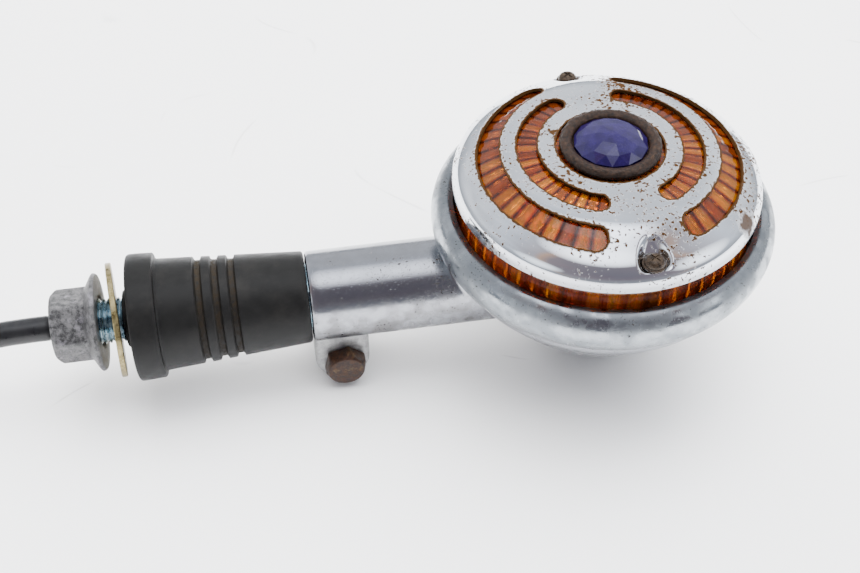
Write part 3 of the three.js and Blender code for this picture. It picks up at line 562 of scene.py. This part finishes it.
def arm():
    """The hollow arm, flared where it runs into the bowl."""
    around, flare = 96, 2.2

    def meet(radius, j):
        a = TAU * j / around
        y, z = radius * math.cos(a), radius * math.sin(a)
        return -math.sqrt(bowl_radius(z) ** 2 - y * y)

    def ring_at(radius, x_of):
        return [(x_of(j), radius * math.cos(TAU * j / around), radius * math.sin(TAU * j / around))
                for j in range(around)]

    rows = [ring_at(9.3, lambda j: -57.2), ring_at(9.3, lambda j: -77.6), ring_at(9.7, lambda j: -78),
            ring_at(11.2, lambda j: -78), ring_at(11.75, lambda j: -77.75), ring_at(12, lambda j: -77.2)]
    for k in range(1, 13):
        rows.append(ring_at(12, lambda j: -77.2 + (meet(12, j) - flare + 77.2) * k / 12))
    for k in range(1, 8):
        t = math.pi / 2 * k / 7
        radius = 12 + flare * (1 - math.cos(t))
        rows.append(ring_at(radius, lambda j: meet(radius, j) - flare * (1 - math.sin(t))))
    rows.append(ring_at(12, lambda j: meet(12, j) + 1.4))
    rows.append(ring_at(8.6, lambda j: meet(8.6, j) + 1.4))
    rows.append(ring_at(8.6, lambda j: -57.2))
    return [v for row in rows for v in row], grid_faces(len(rows), around, True)


def ear(side):
    """One cheek of the clamp, with rounded outer edges, from the slit to its outer face."""
    verts = []
    stations = [(1.25, 0.0), (4, 0.0), (7.6, 0.0), (8.2, 0.12), (8.7, 0.5), (8.95, 0.95), (9.0, 1.5)]
    count = 28
    for y, inset in stations:
        radius = 7.3 - inset
        top = -math.sqrt(10.9 ** 2 - y * y)
        row = [(-70.7 + radius, side * y, top)]
        for k in range(count + 1):
            a = -math.pi * k / count
            row.append((-70.7 + radius * math.cos(a), side * y, -17.1 + radius * math.sin(a)))
        row.append((-70.7 - radius, side * y, top))
        verts += row
    size = count + 3
    faces = grid_faces(len(stations), size)
    faces.append(tuple(range(size)))
    faces.append(tuple(reversed(range((len(stations) - 1) * size, len(stations) * size))))
    return verts, faces


def carve(obj, tool):
    """Cuts a tool mesh out of an object and drops the tool."""
    cutter = mesh_object("tool", *tool, chrome_bowl, None)
    step = obj.modifiers.new("cut", "BOOLEAN")
    step.operation = "DIFFERENCE"
    step.solver = "EXACT"
    step.object = cutter
    graph = bpy.context.evaluated_depsgraph_get()
    mesh = bpy.data.meshes.new_from_object(obj.evaluated_get(graph))
    obj.modifiers.clear()
    obj.data = mesh
    bpy.data.objects.remove(cutter)
    mesh.shade_smooth()
    mesh.set_sharp_from_angle(angle=math.radians(35))


def block(x, y, z, dx, dy, dz):
    """A box by its middle and its sides."""
    verts = [(x + sx * dx / 2, y + sy * dy / 2, z + sz * dz / 2)
             for sx in (-1, 1) for sy in (-1, 1) for sz in (-1, 1)]
    return verts, [(0, 1, 3, 2), (4, 6, 7, 5), (0, 4, 5, 1), (2, 3, 7, 6), (0, 2, 6, 4), (1, 5, 7, 3)]


SCREW_RING, SCREW_SIDES = 35.4, {"front": -87, "rear": 93}
POST_ROOM = 4.6                      # kept free round a screw post's middle
mesh_object("bowl_shell", *joined(bowl(), *(screw_post(a) for a in SCREW_SIDES.values())), chrome_bowl,
            "lamp", "housing", slot="cast_zinc")
arm_tube = mesh_object("arm_tube", *arm(), chrome_bowl, "lamp", slot="cast_zinc")
carve(arm_tube, block(-66.5, 0, -12, 23.2, 2.5, 10))
mesh_object("clamp_ears", *joined(ear(-1), ear(1)), cast_grey, "lamp", slot="cast_zinc", sharp=40)

# ---- Rim and gasket ----
rim_line = xy(rounded([(40.83, 11.2), (41.9, 12.1), (42.9, 13.2), (44.2, 16), (44.6, 18.6), (44.1, 21),
                       (42.5, 23.2), (40.6, 24.1), (38.95, 23.5)], 0.4))
rim_inside = [p for p in offset(rim_line, 1.1) if 12.8 < p[1] < 22.8]
rim_section = [(38.7, 11.2), *rim_line, (38.95, 22.5), *reversed(rim_inside), (41, 12.3), (38.7, 12.3)]
mesh_object("rim_bead", *turned(rim_section, 192), chrome_rim, "lamp", "rim_ring", slot="bright_chrome")
mesh_object("gasket_ring", *turned([(34.6, 17.8), (38.2, 17.8), (38.3, 18.2), (38.3, 18.9), (38.2, 19.3),
                                    (34.6, 19.3)], 128), seal, "lamp", "lens_gasket", slot="seal_rubber")

# ---- Slotted cover: a flat pattern of a turned sheet, lifted to its profile ----
HOLE_R, SCREW_HOLE_R, SEAT_R, SHEET = 13.57, 2.3, 9, 0.8
cover_line = xy(rounded([(HOLE_R, 41.25), (18.33, 41.15), (23.32, 40.65), (27.74, 39.8), (33.24, 36.95),
                         (36.6, 35), (38.4, 33.2), (39.2, 31.2), (39.3, 29.4)], 0.2))
COVER_R = np.array([p[0] for p in cover_line])
COVER_Z = np.array([p[1] for p in cover_line])
COVER_S = HOLE_R + np.concatenate(([0], np.cumsum(np.hypot(np.diff(COVER_R), np.diff(COVER_Z)))))
SLOTS = [(ring, middle) for ring in ((18.33, 23.32), (27.74, 33.24)) for middle in (3, 183)]
HALF_ANGLE = 71.5


def slot_outline(ring, middle):
    """A curved slot's outline in radius and angle, a little ragged, as rust leaves it."""
    inner, outer = ring
    h, rc = (outer - inner) / 2, (inner + outer) / 2
    swing = math.radians(HALF_ANGLE) - h / rc
    mid = math.radians(middle)
    pts = []
    count = int(2 * swing * outer / 0.4)
    pts += [(outer, mid - swing + 2 * swing * k / count, 1, 0) for k in range(count)]
    pts += [(rc, mid + swing, a, 1) for a in np.linspace(0, math.pi, 20)[:-1]]
    pts += [(inner, mid + swing - 2 * swing * k / count, -1, 0) for k in range(count)]
    pts += [(rc, mid - swing, a, -1) for a in np.linspace(math.pi, 2 * math.pi, 20)[:-1]]
    out = []
    for r, angle, a, kind in pts:
        if kind == 0:
            x, y, nx, ny = r * math.cos(angle), r * math.sin(angle), a * math.cos(angle), a * math.sin(angle)
        else:
            nx, ny = math.cos(angle + a), math.sin(angle + a)
            x, y = rc * math.cos(angle) + h * nx, rc * math.sin(angle) + h * ny
        wear = 0.10 * noise.noise(Vector((x * 0.55, y * 0.55, 3.0)))
        wear += 0.12 * noise.noise(Vector((x * 1.7, y * 1.7, 9.0)))
        out.append((x + nx * wear, y + ny * wear))
    return out


def flat_radius(r):
    return float(np.interp(r, COVER_R, COVER_S))


def unrolled(x, y):
    """A plan point of the cover moved to its flat pattern."""
    r = math.hypot(x, y)
    grow = flat_radius(r) / r
    return Vector((x * grow, y * grow))


def in_slot(x, y, margin):
    r, angle = math.hypot(x, y), math.degrees(math.atan2(y, x))
    for (inner, outer), middle in SLOTS:
        h, rc = (outer - inner) / 2, (inner + outer) / 2
        swing = HALF_ANGLE - math.degrees(h / rc)
        turn = (angle - middle + 180) % 360 - 180
        if abs(turn) <= swing:
            gap = abs(r - rc) - h
        else:
            end = math.radians(swing if turn > 0 else -swing)
            a = math.radians(turn)
            gap = math.hypot(r * math.cos(a) - rc * math.cos(end), r * math.sin(a) - rc * math.sin(end)) - h
        if gap < margin:
            return True
    return False


def recess_drop(x, y, z):
    """How far the cover is pressed down at the teardrop seats of the screws."""
    drop = 0.0
    for azimuth in SCREW_SIDES.values():
        a = math.radians(azimuth)
        u = x * math.cos(a) + y * math.sin(a) - SCREW_RING
        v = -x * math.sin(a) + y * math.cos(a)
        tail = 5.4
        if u > 0:
            inside = 3.7 - math.hypot(u * 0.6, v)
            floor_z = 34.0
        else:
            half = 3.7 * math.sqrt(max(0.0, 1 - (-u / tail) ** 1.25))
            inside = half - abs(v) if -u < tail else -1.0
            floor_z = 34.0 + max(0.0, -u - 1.6) * 1.05
        w = min(max(inside / 2.0 + 0.45, 0.0), 1.0)
        w = w * w * (3 - 2 * w)
        drop = max(drop, w * max(z - floor_z, 0.0))
    return drop


def cover_point(x, y):
    """A point of the flat pattern, lifted to the cover's profile."""
    s = math.hypot(x, y)
    r, z = float(np.interp(s, COVER_S, COVER_R)), float(np.interp(s, COVER_S, COVER_Z))
    px, py = x / s * r, y / s * r
    return Vector((px, py, z - recess_drop(px, py, z)))


def cover():
    """The cover's mesh, meshed flat with its holes left out, and each point's distance to an edge."""
    around = 288
    points, edges, loops = [], [], []

    def add_loop(loop):
        start = len(points)
        points.extend(loop)
        ids = list(range(start, len(points)))
        loops.append(ids)
        edges.extend(zip(ids, ids[1:] + ids[:1]))

    for ring, middle in SLOTS:
        add_loop([unrolled(x, y) for x, y in slot_outline(ring, middle)])
    hole = COVER_S[0]
    add_loop([Vector(polar(hole, TAU * k / around)) for k in range(around)])
    for azimuth in SCREW_SIDES.values():
        cx, cy = polar(SCREW_RING, math.radians(azimuth))
        add_loop([unrolled(cx + x, cy + y) for x, y in (polar(SCREW_HOLE_R, TAU * k / 32) for k in range(32))])
    holes = len(loops)
    rim = COVER_S[-1]
    add_loop([Vector(polar(rim, TAU * k / around)) for k in range(around)])
    near = KDTree(len(points))
    for k, p in enumerate(points):
        near.insert((p.x, p.y, 0), k)
    near.balance()

    def free(p, margin):
        x, y = p
        s = math.hypot(x, y)
        if s < hole + margin or s > rim - margin or near.find((x, y, 0))[2] < margin:
            return False
        r = float(np.interp(s, COVER_S, COVER_R))
        return not in_slot(x / s * r, y / s * r, 0.15)

    seats = [unrolled(*polar(SCREW_RING, math.radians(a))) for a in SCREW_SIDES.values()]
    rings = int((rim - hole) / 0.8)
    for k in range(1, rings):
        s = hole + (rim - hole) * k / rings
        for j in range(around):
            a = TAU * (j + 0.5 * (k % 2)) / around
            p = Vector(polar(s, a))
            if free(p, 0.4) and min((p - q).length for q in seats) > SEAT_R:
                points.append(p)
    for q in seats:
        for i in range(-26, 27):
            for j in range(-26, 27):
                p = q + Vector((i + 0.5 * (j % 2), j * 0.87)) * 0.36
                if SCREW_HOLE_R < (p - q).length < SEAT_R and free(p, 0.25):
                    points.append(p)
    flat, _, faces, _, _, owners = delaunay_2d_cdt(points, edges, loops, 0, 1e-6)
    faces = [f for f, owner in zip(faces, owners) if len(owner) and not any(k < holes for k in owner)]
    top = [cover_point(*p) for p in flat]
    normals = [Vector() for _ in top]
    for f in faces:
        n = (top[f[1]] - top[f[0]]).cross(top[f[2]] - top[f[0]])
        for k in f:
            normals[k] += n
    used = sorted({k for f in faces for k in f})
    number = {k: i for i, k in enumerate(used)}
    flip = -1 if sum(n.z for n in normals) < 0 else 1
    verts = [top[k] for k in used] + [top[k] - normals[k].normalized() * SHEET * flip for k in used]
    out = [tuple(number[k] for k in (f if flip > 0 else reversed(f))) for f in faces]
    under = [tuple(k + len(used) for k in reversed(f)) for f in out]
    sides = {}
    for f in out:
        for a, b in zip(f, f[1:] + f[:1]):
            sides[(a, b)] = True
    walls = [(b, a, a + len(used), b + len(used)) for a, b in sides if (b, a) not in sides]
    cuts = edge_tree(points, loops)
    wear = [min(cuts.find((*flat[k], 0))[2], EDGE_REACH) for k in used]
    return verts, out + under + walls, wear * 2


def edge_tree(points, loops):
    """A look-up of the points on the first five loops, which are the slots and the middle hole."""
    ids = [k for loop in loops[:5] for k in loop]
    tree = KDTree(len(ids))
    for k in ids:
        tree.insert((points[k].x, points[k].y, 0), k)
    tree.balance()
    return tree


cover_verts, cover_faces, cover_wear = cover()
cover_sheet = mesh_object("cover_sheet", cover_verts, cover_faces, chrome_cover, "lens_unit", "grille_cover",
                          slot="bright_chrome", merge=False)
wear = cover_sheet.data.attributes.new("edge", "FLOAT", "POINT")
wear.data.foreach_set("value", cover_wear)

# ---- Lens: fluted inside, with faint flutes and steps outside ----
FLUTES = 60


def lens():
    under = [(38.15, 29.5)] + [p for p in offset(list(reversed(cover_line)), 1.15) if p[1] > 30.2]
    outer = xy(rounded([(38.15, 19.6), (38.15, 24), (38.15, 29.2)], 1.0))[:-1] + under + [(6, 40.05)]
    inner = [p for p in offset(outer, 2.2) if p[1] > 20 and p[0] > 6.5]
    section = outer + [(2.9, 40.05), (2.9, 37.85)] + list(reversed(inner)) + [(35.95, 19.6)]
    first_inner = len(outer) + 2

    def flute(angle, r, z, row):
        swell = abs(math.sin(angle * FLUTES / 2))
        if row >= first_inner and 12 < r and z > 19.7:
            depth = 0.85 * swell + 0.25 * abs(math.sin(r * TAU / 6.4))
            return r - depth * (0.35 if z > 34 else 0.8), z + depth * (0.9 if z > 34 else 0.3)
        if row < len(outer) and z > 29.4 and 14 < r:
            depth = 0.07 * swell + 0.05 * abs(math.sin(r * TAU / 6.6))
            return r - depth * 0.3, z - depth
        return r, z

    verts, faces = turned(section, FLUTES * 6, flute)
    return [press(v) for v in verts], faces


def press(v):
    """A lens point moved down under the cover's screw seats."""
    return (v[0], v[1], v[2] - 0.97 * recess_drop(v[0], v[1], v[2] + 1.2)) if v[2] > 24 else v


mesh_object("amber_lens_shell", *lens(), amber, "lens_unit", "lens", slot="amber_lens", sharp=50)

# ---- Lens screws, bezel, jewel ----
for side, azimuth in SCREW_SIDES.items():
    at = Matrix.Translation((*polar(SCREW_RING, math.radians(azimuth)), 0))
    dome = rounded([(2.55, 34.95), (2.5, 35.4), (2.15, 36.1), (1.5, 36.55), (0.8, 36.68), (0, 36.7)], 0.2)
    head = [(0, 11), (1.6, 11), (1.95, 11.4), (1.95, 34.2), (2.85, 34.2), (2.95, 34.35), (2.95, 34.75),
            (2.8, 34.9), *xy(dome)]
    screw = mesh_object(f"screw_{side}_domed", *moved(turned(head, 48), at), brown_screw, f"screw_{side}",
                        f"lens_screw_{side}", slot="rusty_steel")
    for turn in (35, 125):
        cross = at @ Matrix.Rotation(math.radians(turn), 4, "Z")
        carve(screw, moved(block(0, 0, 36.9, 2.8, 0.42, 1.0), cross))


def crusted(angle, r, z, row):
    """Rust lumps on the bezel's outside."""
    if r < 9.7:
        return r, z
    x, y = polar(r, angle)
    lump = 0.16 * noise.noise(Vector((x * 0.8, y * 0.8, z)))
    lump += 0.10 * noise.noise(Vector((x * 2.1, y * 2.1, z * 2)))
    return r + lump, z + lump * (1 if z > 41.5 else 0)


bezel_top = xy(rounded([(11.6, 40.4), (12.5, 40.9), (12.8, 41.7), (12.4, 42.7), (11.4, 43.2), (10.3, 42.9),
                        (9.6, 42.2), (9.55, 41.1)], 0.25))
bezel_section = [(0, 35.9), (2.2, 35.9), (2.6, 36.3), (2.6, 40.4), *bezel_top, (0, 41.1)]
mesh_object("bezel_bead", *turned(bezel_section, 128, crusted), dark_bezel, "lens_unit", "jewel_bezel",
            slot="rusty_steel")


def rose_cut():
    """A round jewel with a star of flat facets, each ring turned half a step on the last."""
    wide, narrow = 14, 7
    rings = ((9.3, 41.5, wide, 0.0), (9.3, 42.35, wide, 0.0), (7.2, 44.05, wide, 0.5),
             (3.9, 45.15, narrow, 0.25), (0.9, 45.55, narrow, 0.75))
    verts, faces = [], []
    for r, z, count, turn in rings:
        verts += [(*polar(r, TAU * (k + turn) / count), z) for k in range(count)]
    for k in range(wide):
        n = (k + 1) % wide
        faces.append((k, n, wide + n, wide + k))
        faces.append((wide + k, wide + n, 2 * wide + k))
        faces.append((wide + n, 2 * wide + n, 2 * wide + k))
    for k in range(narrow):
        a, b, c = 2 * wide + 2 * k, 2 * wide + 2 * k + 1, 2 * wide + (2 * k + 2) % wide
        low, high = 3 * wide + k, 3 * wide + (k + 1) % narrow
        faces += [(a, b, low), (b, high, low), (b, c, high)]
        faces += [(low, high, low + narrow), (high, high + narrow, low + narrow)]
    faces.append(tuple(range(3 * wide + narrow, 3 * wide + 2 * narrow)))
    faces.append(tuple(reversed(range(wide))))
    return verts, faces


mesh_object("jewel_rose_cut", *rose_cut(), blue, "lens_unit", "jewel", slot="blue_jewel", sharp=2)

# ---- Contact spring, which takes up the contact's travel ----
SPRING_STEPS = 30                    # in one of its three turns
coils = [(*polar(6, TAU * k / SPRING_STEPS), -19.9 + 2.95 * k / (3 * SPRING_STEPS))
         for k in range(3 * SPRING_STEPS + 1)]
spring = mesh_object("spring_wire_coil", *tube(coils, 0.45, 8), brass, None, "contact_spring",
                     slot="zinc_steel")
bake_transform(spring)

# ---- Reflector and bulb ----
dish = xy(rounded([(9.2, -0.1), (12, 0.1), (18, 2.4), (24, 6.2), (30, 11.2), (33.4, 15), (34.4, 16.4)], 0.8))


def notched(angle, r, z, row):
    """The dish's edge kept clear of the screw posts."""
    for azimuth in SCREW_SIDES.values():
        turn = (angle - math.radians(azimuth) + math.pi) % TAU - math.pi
        aside = SCREW_RING * math.sin(turn)
        reach = SCREW_RING * math.cos(turn) - math.sqrt(max(POST_ROOM ** 2 - aside ** 2, 0))
        if abs(aside) < POST_ROOM and abs(turn) < 1 and r > reach:
            low, high = np.interp((reach, r), *zip(*dish))
            return reach, float(low + (z - high))
    return r, z


mesh_object("reflector_dish", *turned(dish + list(reversed(offset(dish, -0.8))), 144, notched), bright_inside,
            "lamp", "reflector", slot="bright_chrome")
glass_line = xy(rounded([(7.2, 6.3), (7.8, 8.6), (10.4, 12.6), (12.1, 17), (12.5, 21.5), (12, 26), (10, 30.2),
                         (6.2, 33), (2.4, 33.9), (0, 34)], 0.7))
glass_in = [p for p in offset(glass_line, 0.9) if p[0] > 0.8 and p[1] > 6.5]
bulb_section = [*glass_line, (0, 33.1), *reversed(glass_in), (6.3, 6.3)]
mesh_object("bulb_envelope", *turned(bulb_section, 72), glass, "bulb",
            "bulb_glass", slot="clear_glass")


# ---- Rubber stem: one look in two pieces that meet in the middle groove ----
def stem_radius(x):
    """The stem's outer radius between its grooves."""
    return 12 + (x + 78) / (-116.8 + 78) * 2.6


def grooved(start, end):
    """The stem's outer line from one place to another, with its three grooves."""
    line = []
    x = start
    while x > end + 1e-6:
        depth = 0.0
        for groove in GROOVES:
            away = abs(x - groove)
            depth = max(depth, 0.95 * min(1.0, max(0.0, (1.05 - away) / 0.35)))
        line.append((stem_radius(x) - depth, x))
        x -= 0.25 if -108 < x < -95 else 1.0
    line.append((stem_radius(end) - (0.95 if abs(end - MIDDLE) < 0.1 else 0), end))
    return line


def moulded(angle, r, x, row):
    """A faint parting line along the rubber's low side."""
    if r < 11.5:
        return r, x
    ridge = 0
    for seam in (math.radians(222), math.radians(42)):
        ridge += 0.13 * math.exp(-(((angle - seam) * r / 0.4) ** 2))
    return r + ridge, x


tip_line = grooved(MIDDLE, -116.2)
tip_bead = xy(rounded([(16.3, -118), (16.5, -121.8), (16.5, -123.1), (16.35, -123.6), (15.9, -123.8)], 0.4))
tip = turned_x([(9.3, MIDDLE), *tip_line, (14.85, -116.7), (15.6, -116.8), (16.05, -116.95),
                (16.25, -117.3), *tip_bead, (7.6, -123.8), (7.5, -124.0), (7.4, -125.6), (7.2, -125.7),
                (6.25, -125.7), (6.25, -112.3), (9.3, -112.3),
                *((9.3, -112 + k * 0.75) for k in range(1, 14))], 120, moulded)
tip = mesh_object("stem_outer_rubber", *tip, rubber, None, ("stem_rubber_tip", "stem_rubber_ring"), 40,
                  "stem_rubber")
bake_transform(tip)
bore = [(4.3 + min(max(-0.5 * (x + 94), 0), 0.7), x) for x in (-92 - k * 0.75 for k in range(1, 13))]
root = turned_x([(5.0, MIDDLE), (5.2, MIDDLE), *reversed(grooved(-78.9, MIDDLE)),
                 (11.8, -78.45), (11.4, -78.3), (9.2, -78.3), (9.2, -91.7), (4.3, -91.7), *bore], 120,
                moulded)
root = mesh_object("stem_inner_rubber", *root, rubber, None, "stem_rubber_root", 40, "stem_rubber")
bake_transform(root)


# ---- Threaded stud, washer, nut, clamp bolt ----
def stud():
    """The hollow stud with its helical thread."""
    pitch, depth, step = 1.25, 0.72, 0.13
    section = [(3.7, -141)]
    x = -141.0
    while x < -125:
        section.append((5.95, x))
        x += step
    section += [(5.95, -125), (5.95, -112.1), (8.8, -112), (9, -111.8), (9, -109.2), (8.8, -109), (3.7, -109)]

    def threaded(angle, r, x, row):
        if r < 5.9 or r > 6 or x > -125.2:
            return r, x
        phase = (x / pitch + angle / TAU) % 1.0
        crest = abs(phase - 0.5) * 2
        fade = min(1.0, (x + 141) / 1.2)
        return r - depth * min(1.0, crest * 1.25) - 0.6 * (1 - fade), x

    return turned_x(section, 64, threaded)


mesh_object("stud_thread", *stud(), zinc_thread, "mount", "mount_stud", slot="zinc_steel", sharp=60)
lean = (Matrix.Translation((-128.25, 0, 0)) @ Matrix.Rotation(math.radians(5.4), 4, "Z")
        @ Matrix.Rotation(math.radians(2.9), 4, "Y"))
ring_section = [(6.6, -0.6), (6.75, -0.75), (14.8, -0.75), (15, -0.55), (15, 0.55), (14.8, 0.75),
                (6.75, 0.75), (6.6, 0.6)]
mesh_object("washer_disc", *moved(turned_x(ring_section, 96), lean), yellow_washer, "washer", "flat_washer",
            slot="yellow_zinc")


def hexagon(angle, flats, corner):
    """A hexagon's radius at an angle from the middle of a flat, its corners cut round."""
    return min(flats / 2 / math.cos((angle + math.pi / 6) % (math.pi / 3) - math.pi / 6), corner)


def nut():
    """The flanged hexagon nut."""
    end, face = -144.0, -132.0
    places = [*(end + step for step in (0, 0.3, 0.7, 1.1, 1.6, 2.4, 4.5, 7.0)), -136.4, -135.6, -135.0,
              -134.4, -133.6, -133.2, -132.9, -132.5, -132.2, face]
    chamfer = ([end, end + 1.6, face], [8.35, 9.9, 9.9])
    flange = ([end, -135.9, -135.3, -133.4, -133.0, -132.4, face], [0, 0, 9.0, 12.3, 12.8, 12.75, 12.4])
    section = [(6.9, end), (7.4, end), *((HEX, x) for x in places),
               (7.2, face), (6.2, face - 0.5), (6.2, end + 0.7)]

    def cut(angle, r, x, row):
        if r < HEX:
            return r, x
        side = min(hexagon(angle - math.radians(133), 17, 9.62), float(np.interp(x, *chamfer)))
        return max(side, float(np.interp(x, *flange))), x

    return turned_x(section, 180, cut)


mesh_object("hex_flange_nut", *nut(), zinc_nut, "nut", "flange_nut", slot="zinc_steel", sharp=28)


def hex_head(flats, height, chamfer_depth, bore=0.0, turn=0.0, rise=0.0):
    """A hexagonal head or nut standing on z = 0, its top edge chamfered round."""
    corner = flats / math.sqrt(3) - 0.12
    zs = [0, height * 0.35, *(height - chamfer_depth * k for k in (1, 0.6, 0.25, 0))]
    edge = ([0, height - chamfer_depth, height], [corner, corner, flats / 2 * 0.95])
    section = [(bore, 0), *((HEX, z) for z in zs),
               (flats / 2 * 0.8, height + rise * 0.5), (bore, height + rise)]

    def cut(angle, r, z, row):
        if r < HEX:
            return r, z
        return min(hexagon(angle - turn, flats, corner), float(np.interp(z, *edge))), z

    return turned(section, 180, cut)


to_front = Matrix.Translation((-70.3, -9.3, -16.9)) @ Matrix.Rotation(math.radians(90), 4, "X")
bolt_head = moved(hex_head(10, 4, 1.5, 0.0, math.radians(48), 0.25), to_front)
shank = moved(turned([(0, -25.3), (2.6, -25.3), (3, -24.9), (3, 0), (0, 0)], 48), to_front)
mesh_object("bolt_hex", *joined(bolt_head, shank), rusty_bolt, "clamp_screw", "clamp_bolt",
            slot="rusty_steel", sharp=28)
to_rear = Matrix.Translation((-70.3, 9.3, -16.9)) @ Matrix.Rotation(math.radians(-90), 4, "X")
mesh_object("clamp_hex_nut", *moved(hex_head(10, 5, 0.8, 3.3), to_rear), zinc_nut, "lamp", "clamp_nut",
            slot="zinc_steel", sharp=28)

# ---- Floor and light ----
floor = bpy.data.meshes.new("floor")
floor.from_pydata([(-2, -2, 0), (2, -2, 0), (2, 2, 0), (-2, 2, 0)], [], [(0, 1, 2, 3)])
floor = bpy.data.objects.new("floor", floor)
bpy.context.collection.objects.link(floor)
ground = Paint("floor_paint")
drift = ground.maths("ABSOLUTE", ground.maths("SUBTRACT", ground.noise(90, 1), 0.5))
scratch = ground.times(ground.ramp(drift, (0.0, 1.0), (0.0022, 0.0)),
                       ground.ramp(ground.noise(40, 2), (0.54, 0.0), (0.60, 0.5)))
cloud = ground.noise(70, 3)
ground.set(Base_Color=ground.mix(scratch, ground.mix(cloud, (0.93, 0.93, 0.94), (0.96, 0.96, 0.96)),
                                 (0.50, 0.50, 0.50)), Roughness=ground.ramp(cloud, (0.3, 0.40), (0.7, 0.52)))
floor.data.materials.append(ground.material)

world = bpy.data.worlds.new("studio")
bpy.context.scene.world = world
world.use_nodes = True
sky = Nodes(world.node_tree, "Generated")


def towards(x, y, z):
    """How closely a direction of the room points the given way, from 0 to 1."""
    aim = Vector((x, y, z)).normalized()
    dot = sky.node("ShaderNodeVectorMath", {0: sky.coords, 1: aim}, operation="DOT_PRODUCT")
    return sky.maths("MAXIMUM", dot.outputs["Value"], 0.0)


room = sky.ramp(towards(0, -0.80, 0.60), (0.0, (0.97, 1.0, 1.05)), (0.35, (0.80, 0.85, 0.94)),
                (0.63, (0.50, 0.47, 0.50)), (0.68, (0.60, 0.40, 0.30)), (0.74, (0.30, 0.25, 0.27)),
                (1.0, (0.17, 0.15, 0.18)))
level = sky.maths("ABSOLUTE", sky.node("ShaderNodeSeparateXYZ", {0: sky.coords}).outputs[2])
room = sky.mix(sky.ramp(level, (0.03, 0.75), (0.34, 0.0)), room, (0.30, 0.33, 0.37))
drift = sky.node("ShaderNodeTexNoise", {"Vector": sky.coords, "Scale": 2.3, "Detail": 2.0}).outputs["Fac"]
room = sky.mix(sky.ramp(drift, (0.40, 0.0), (0.62, 1.0)), room, sky.mix(0.75, (0.18, 0.20, 0.23), room))
SOFTBOXES = (((0, -0.06, 1), 0.90, (3.0, 3.1, 3.3)), ((0.75, -0.45, 0.5), 0.93, (2.2, 2.3, 2.4)),
             ((-0.8, -0.5, 0.35), 0.95, (1.6, 1.7, 1.8)))
for aim, narrow, colour in SOFTBOXES:
    room = sky.mix(sky.ramp(towards(*aim), (narrow, 0.0), (1.0, 1.0)), room, colour)
sky.tree.links.new(room, sky.tree.nodes["Background"].inputs[0])
sky.tree.nodes["Background"].inputs[1].default_value = 1.3


def soft_light(name, where, size, power, colour):
    """An area lamp that looks at the model."""
    lamp = bpy.data.lights.new(name, "AREA")
    lamp.size = size
    lamp.energy = power
    lamp.color = colour
    obj = bpy.data.objects.new(name, lamp)
    bpy.context.collection.objects.link(obj)
    obj.location = where
    obj.rotation_euler = (-Vector(where)).to_track_quat("-Z", "Y").to_euler()
    return obj


soft_light("key", (-0.15, 0.75, 1.05), 2.3, 98, (1.0, 0.99, 0.97)).visible_glossy = False
soft_light("fill", (0.5, 0.1, 1.1), 1.4, 36, (0.96, 0.98, 1.0)).visible_glossy = False
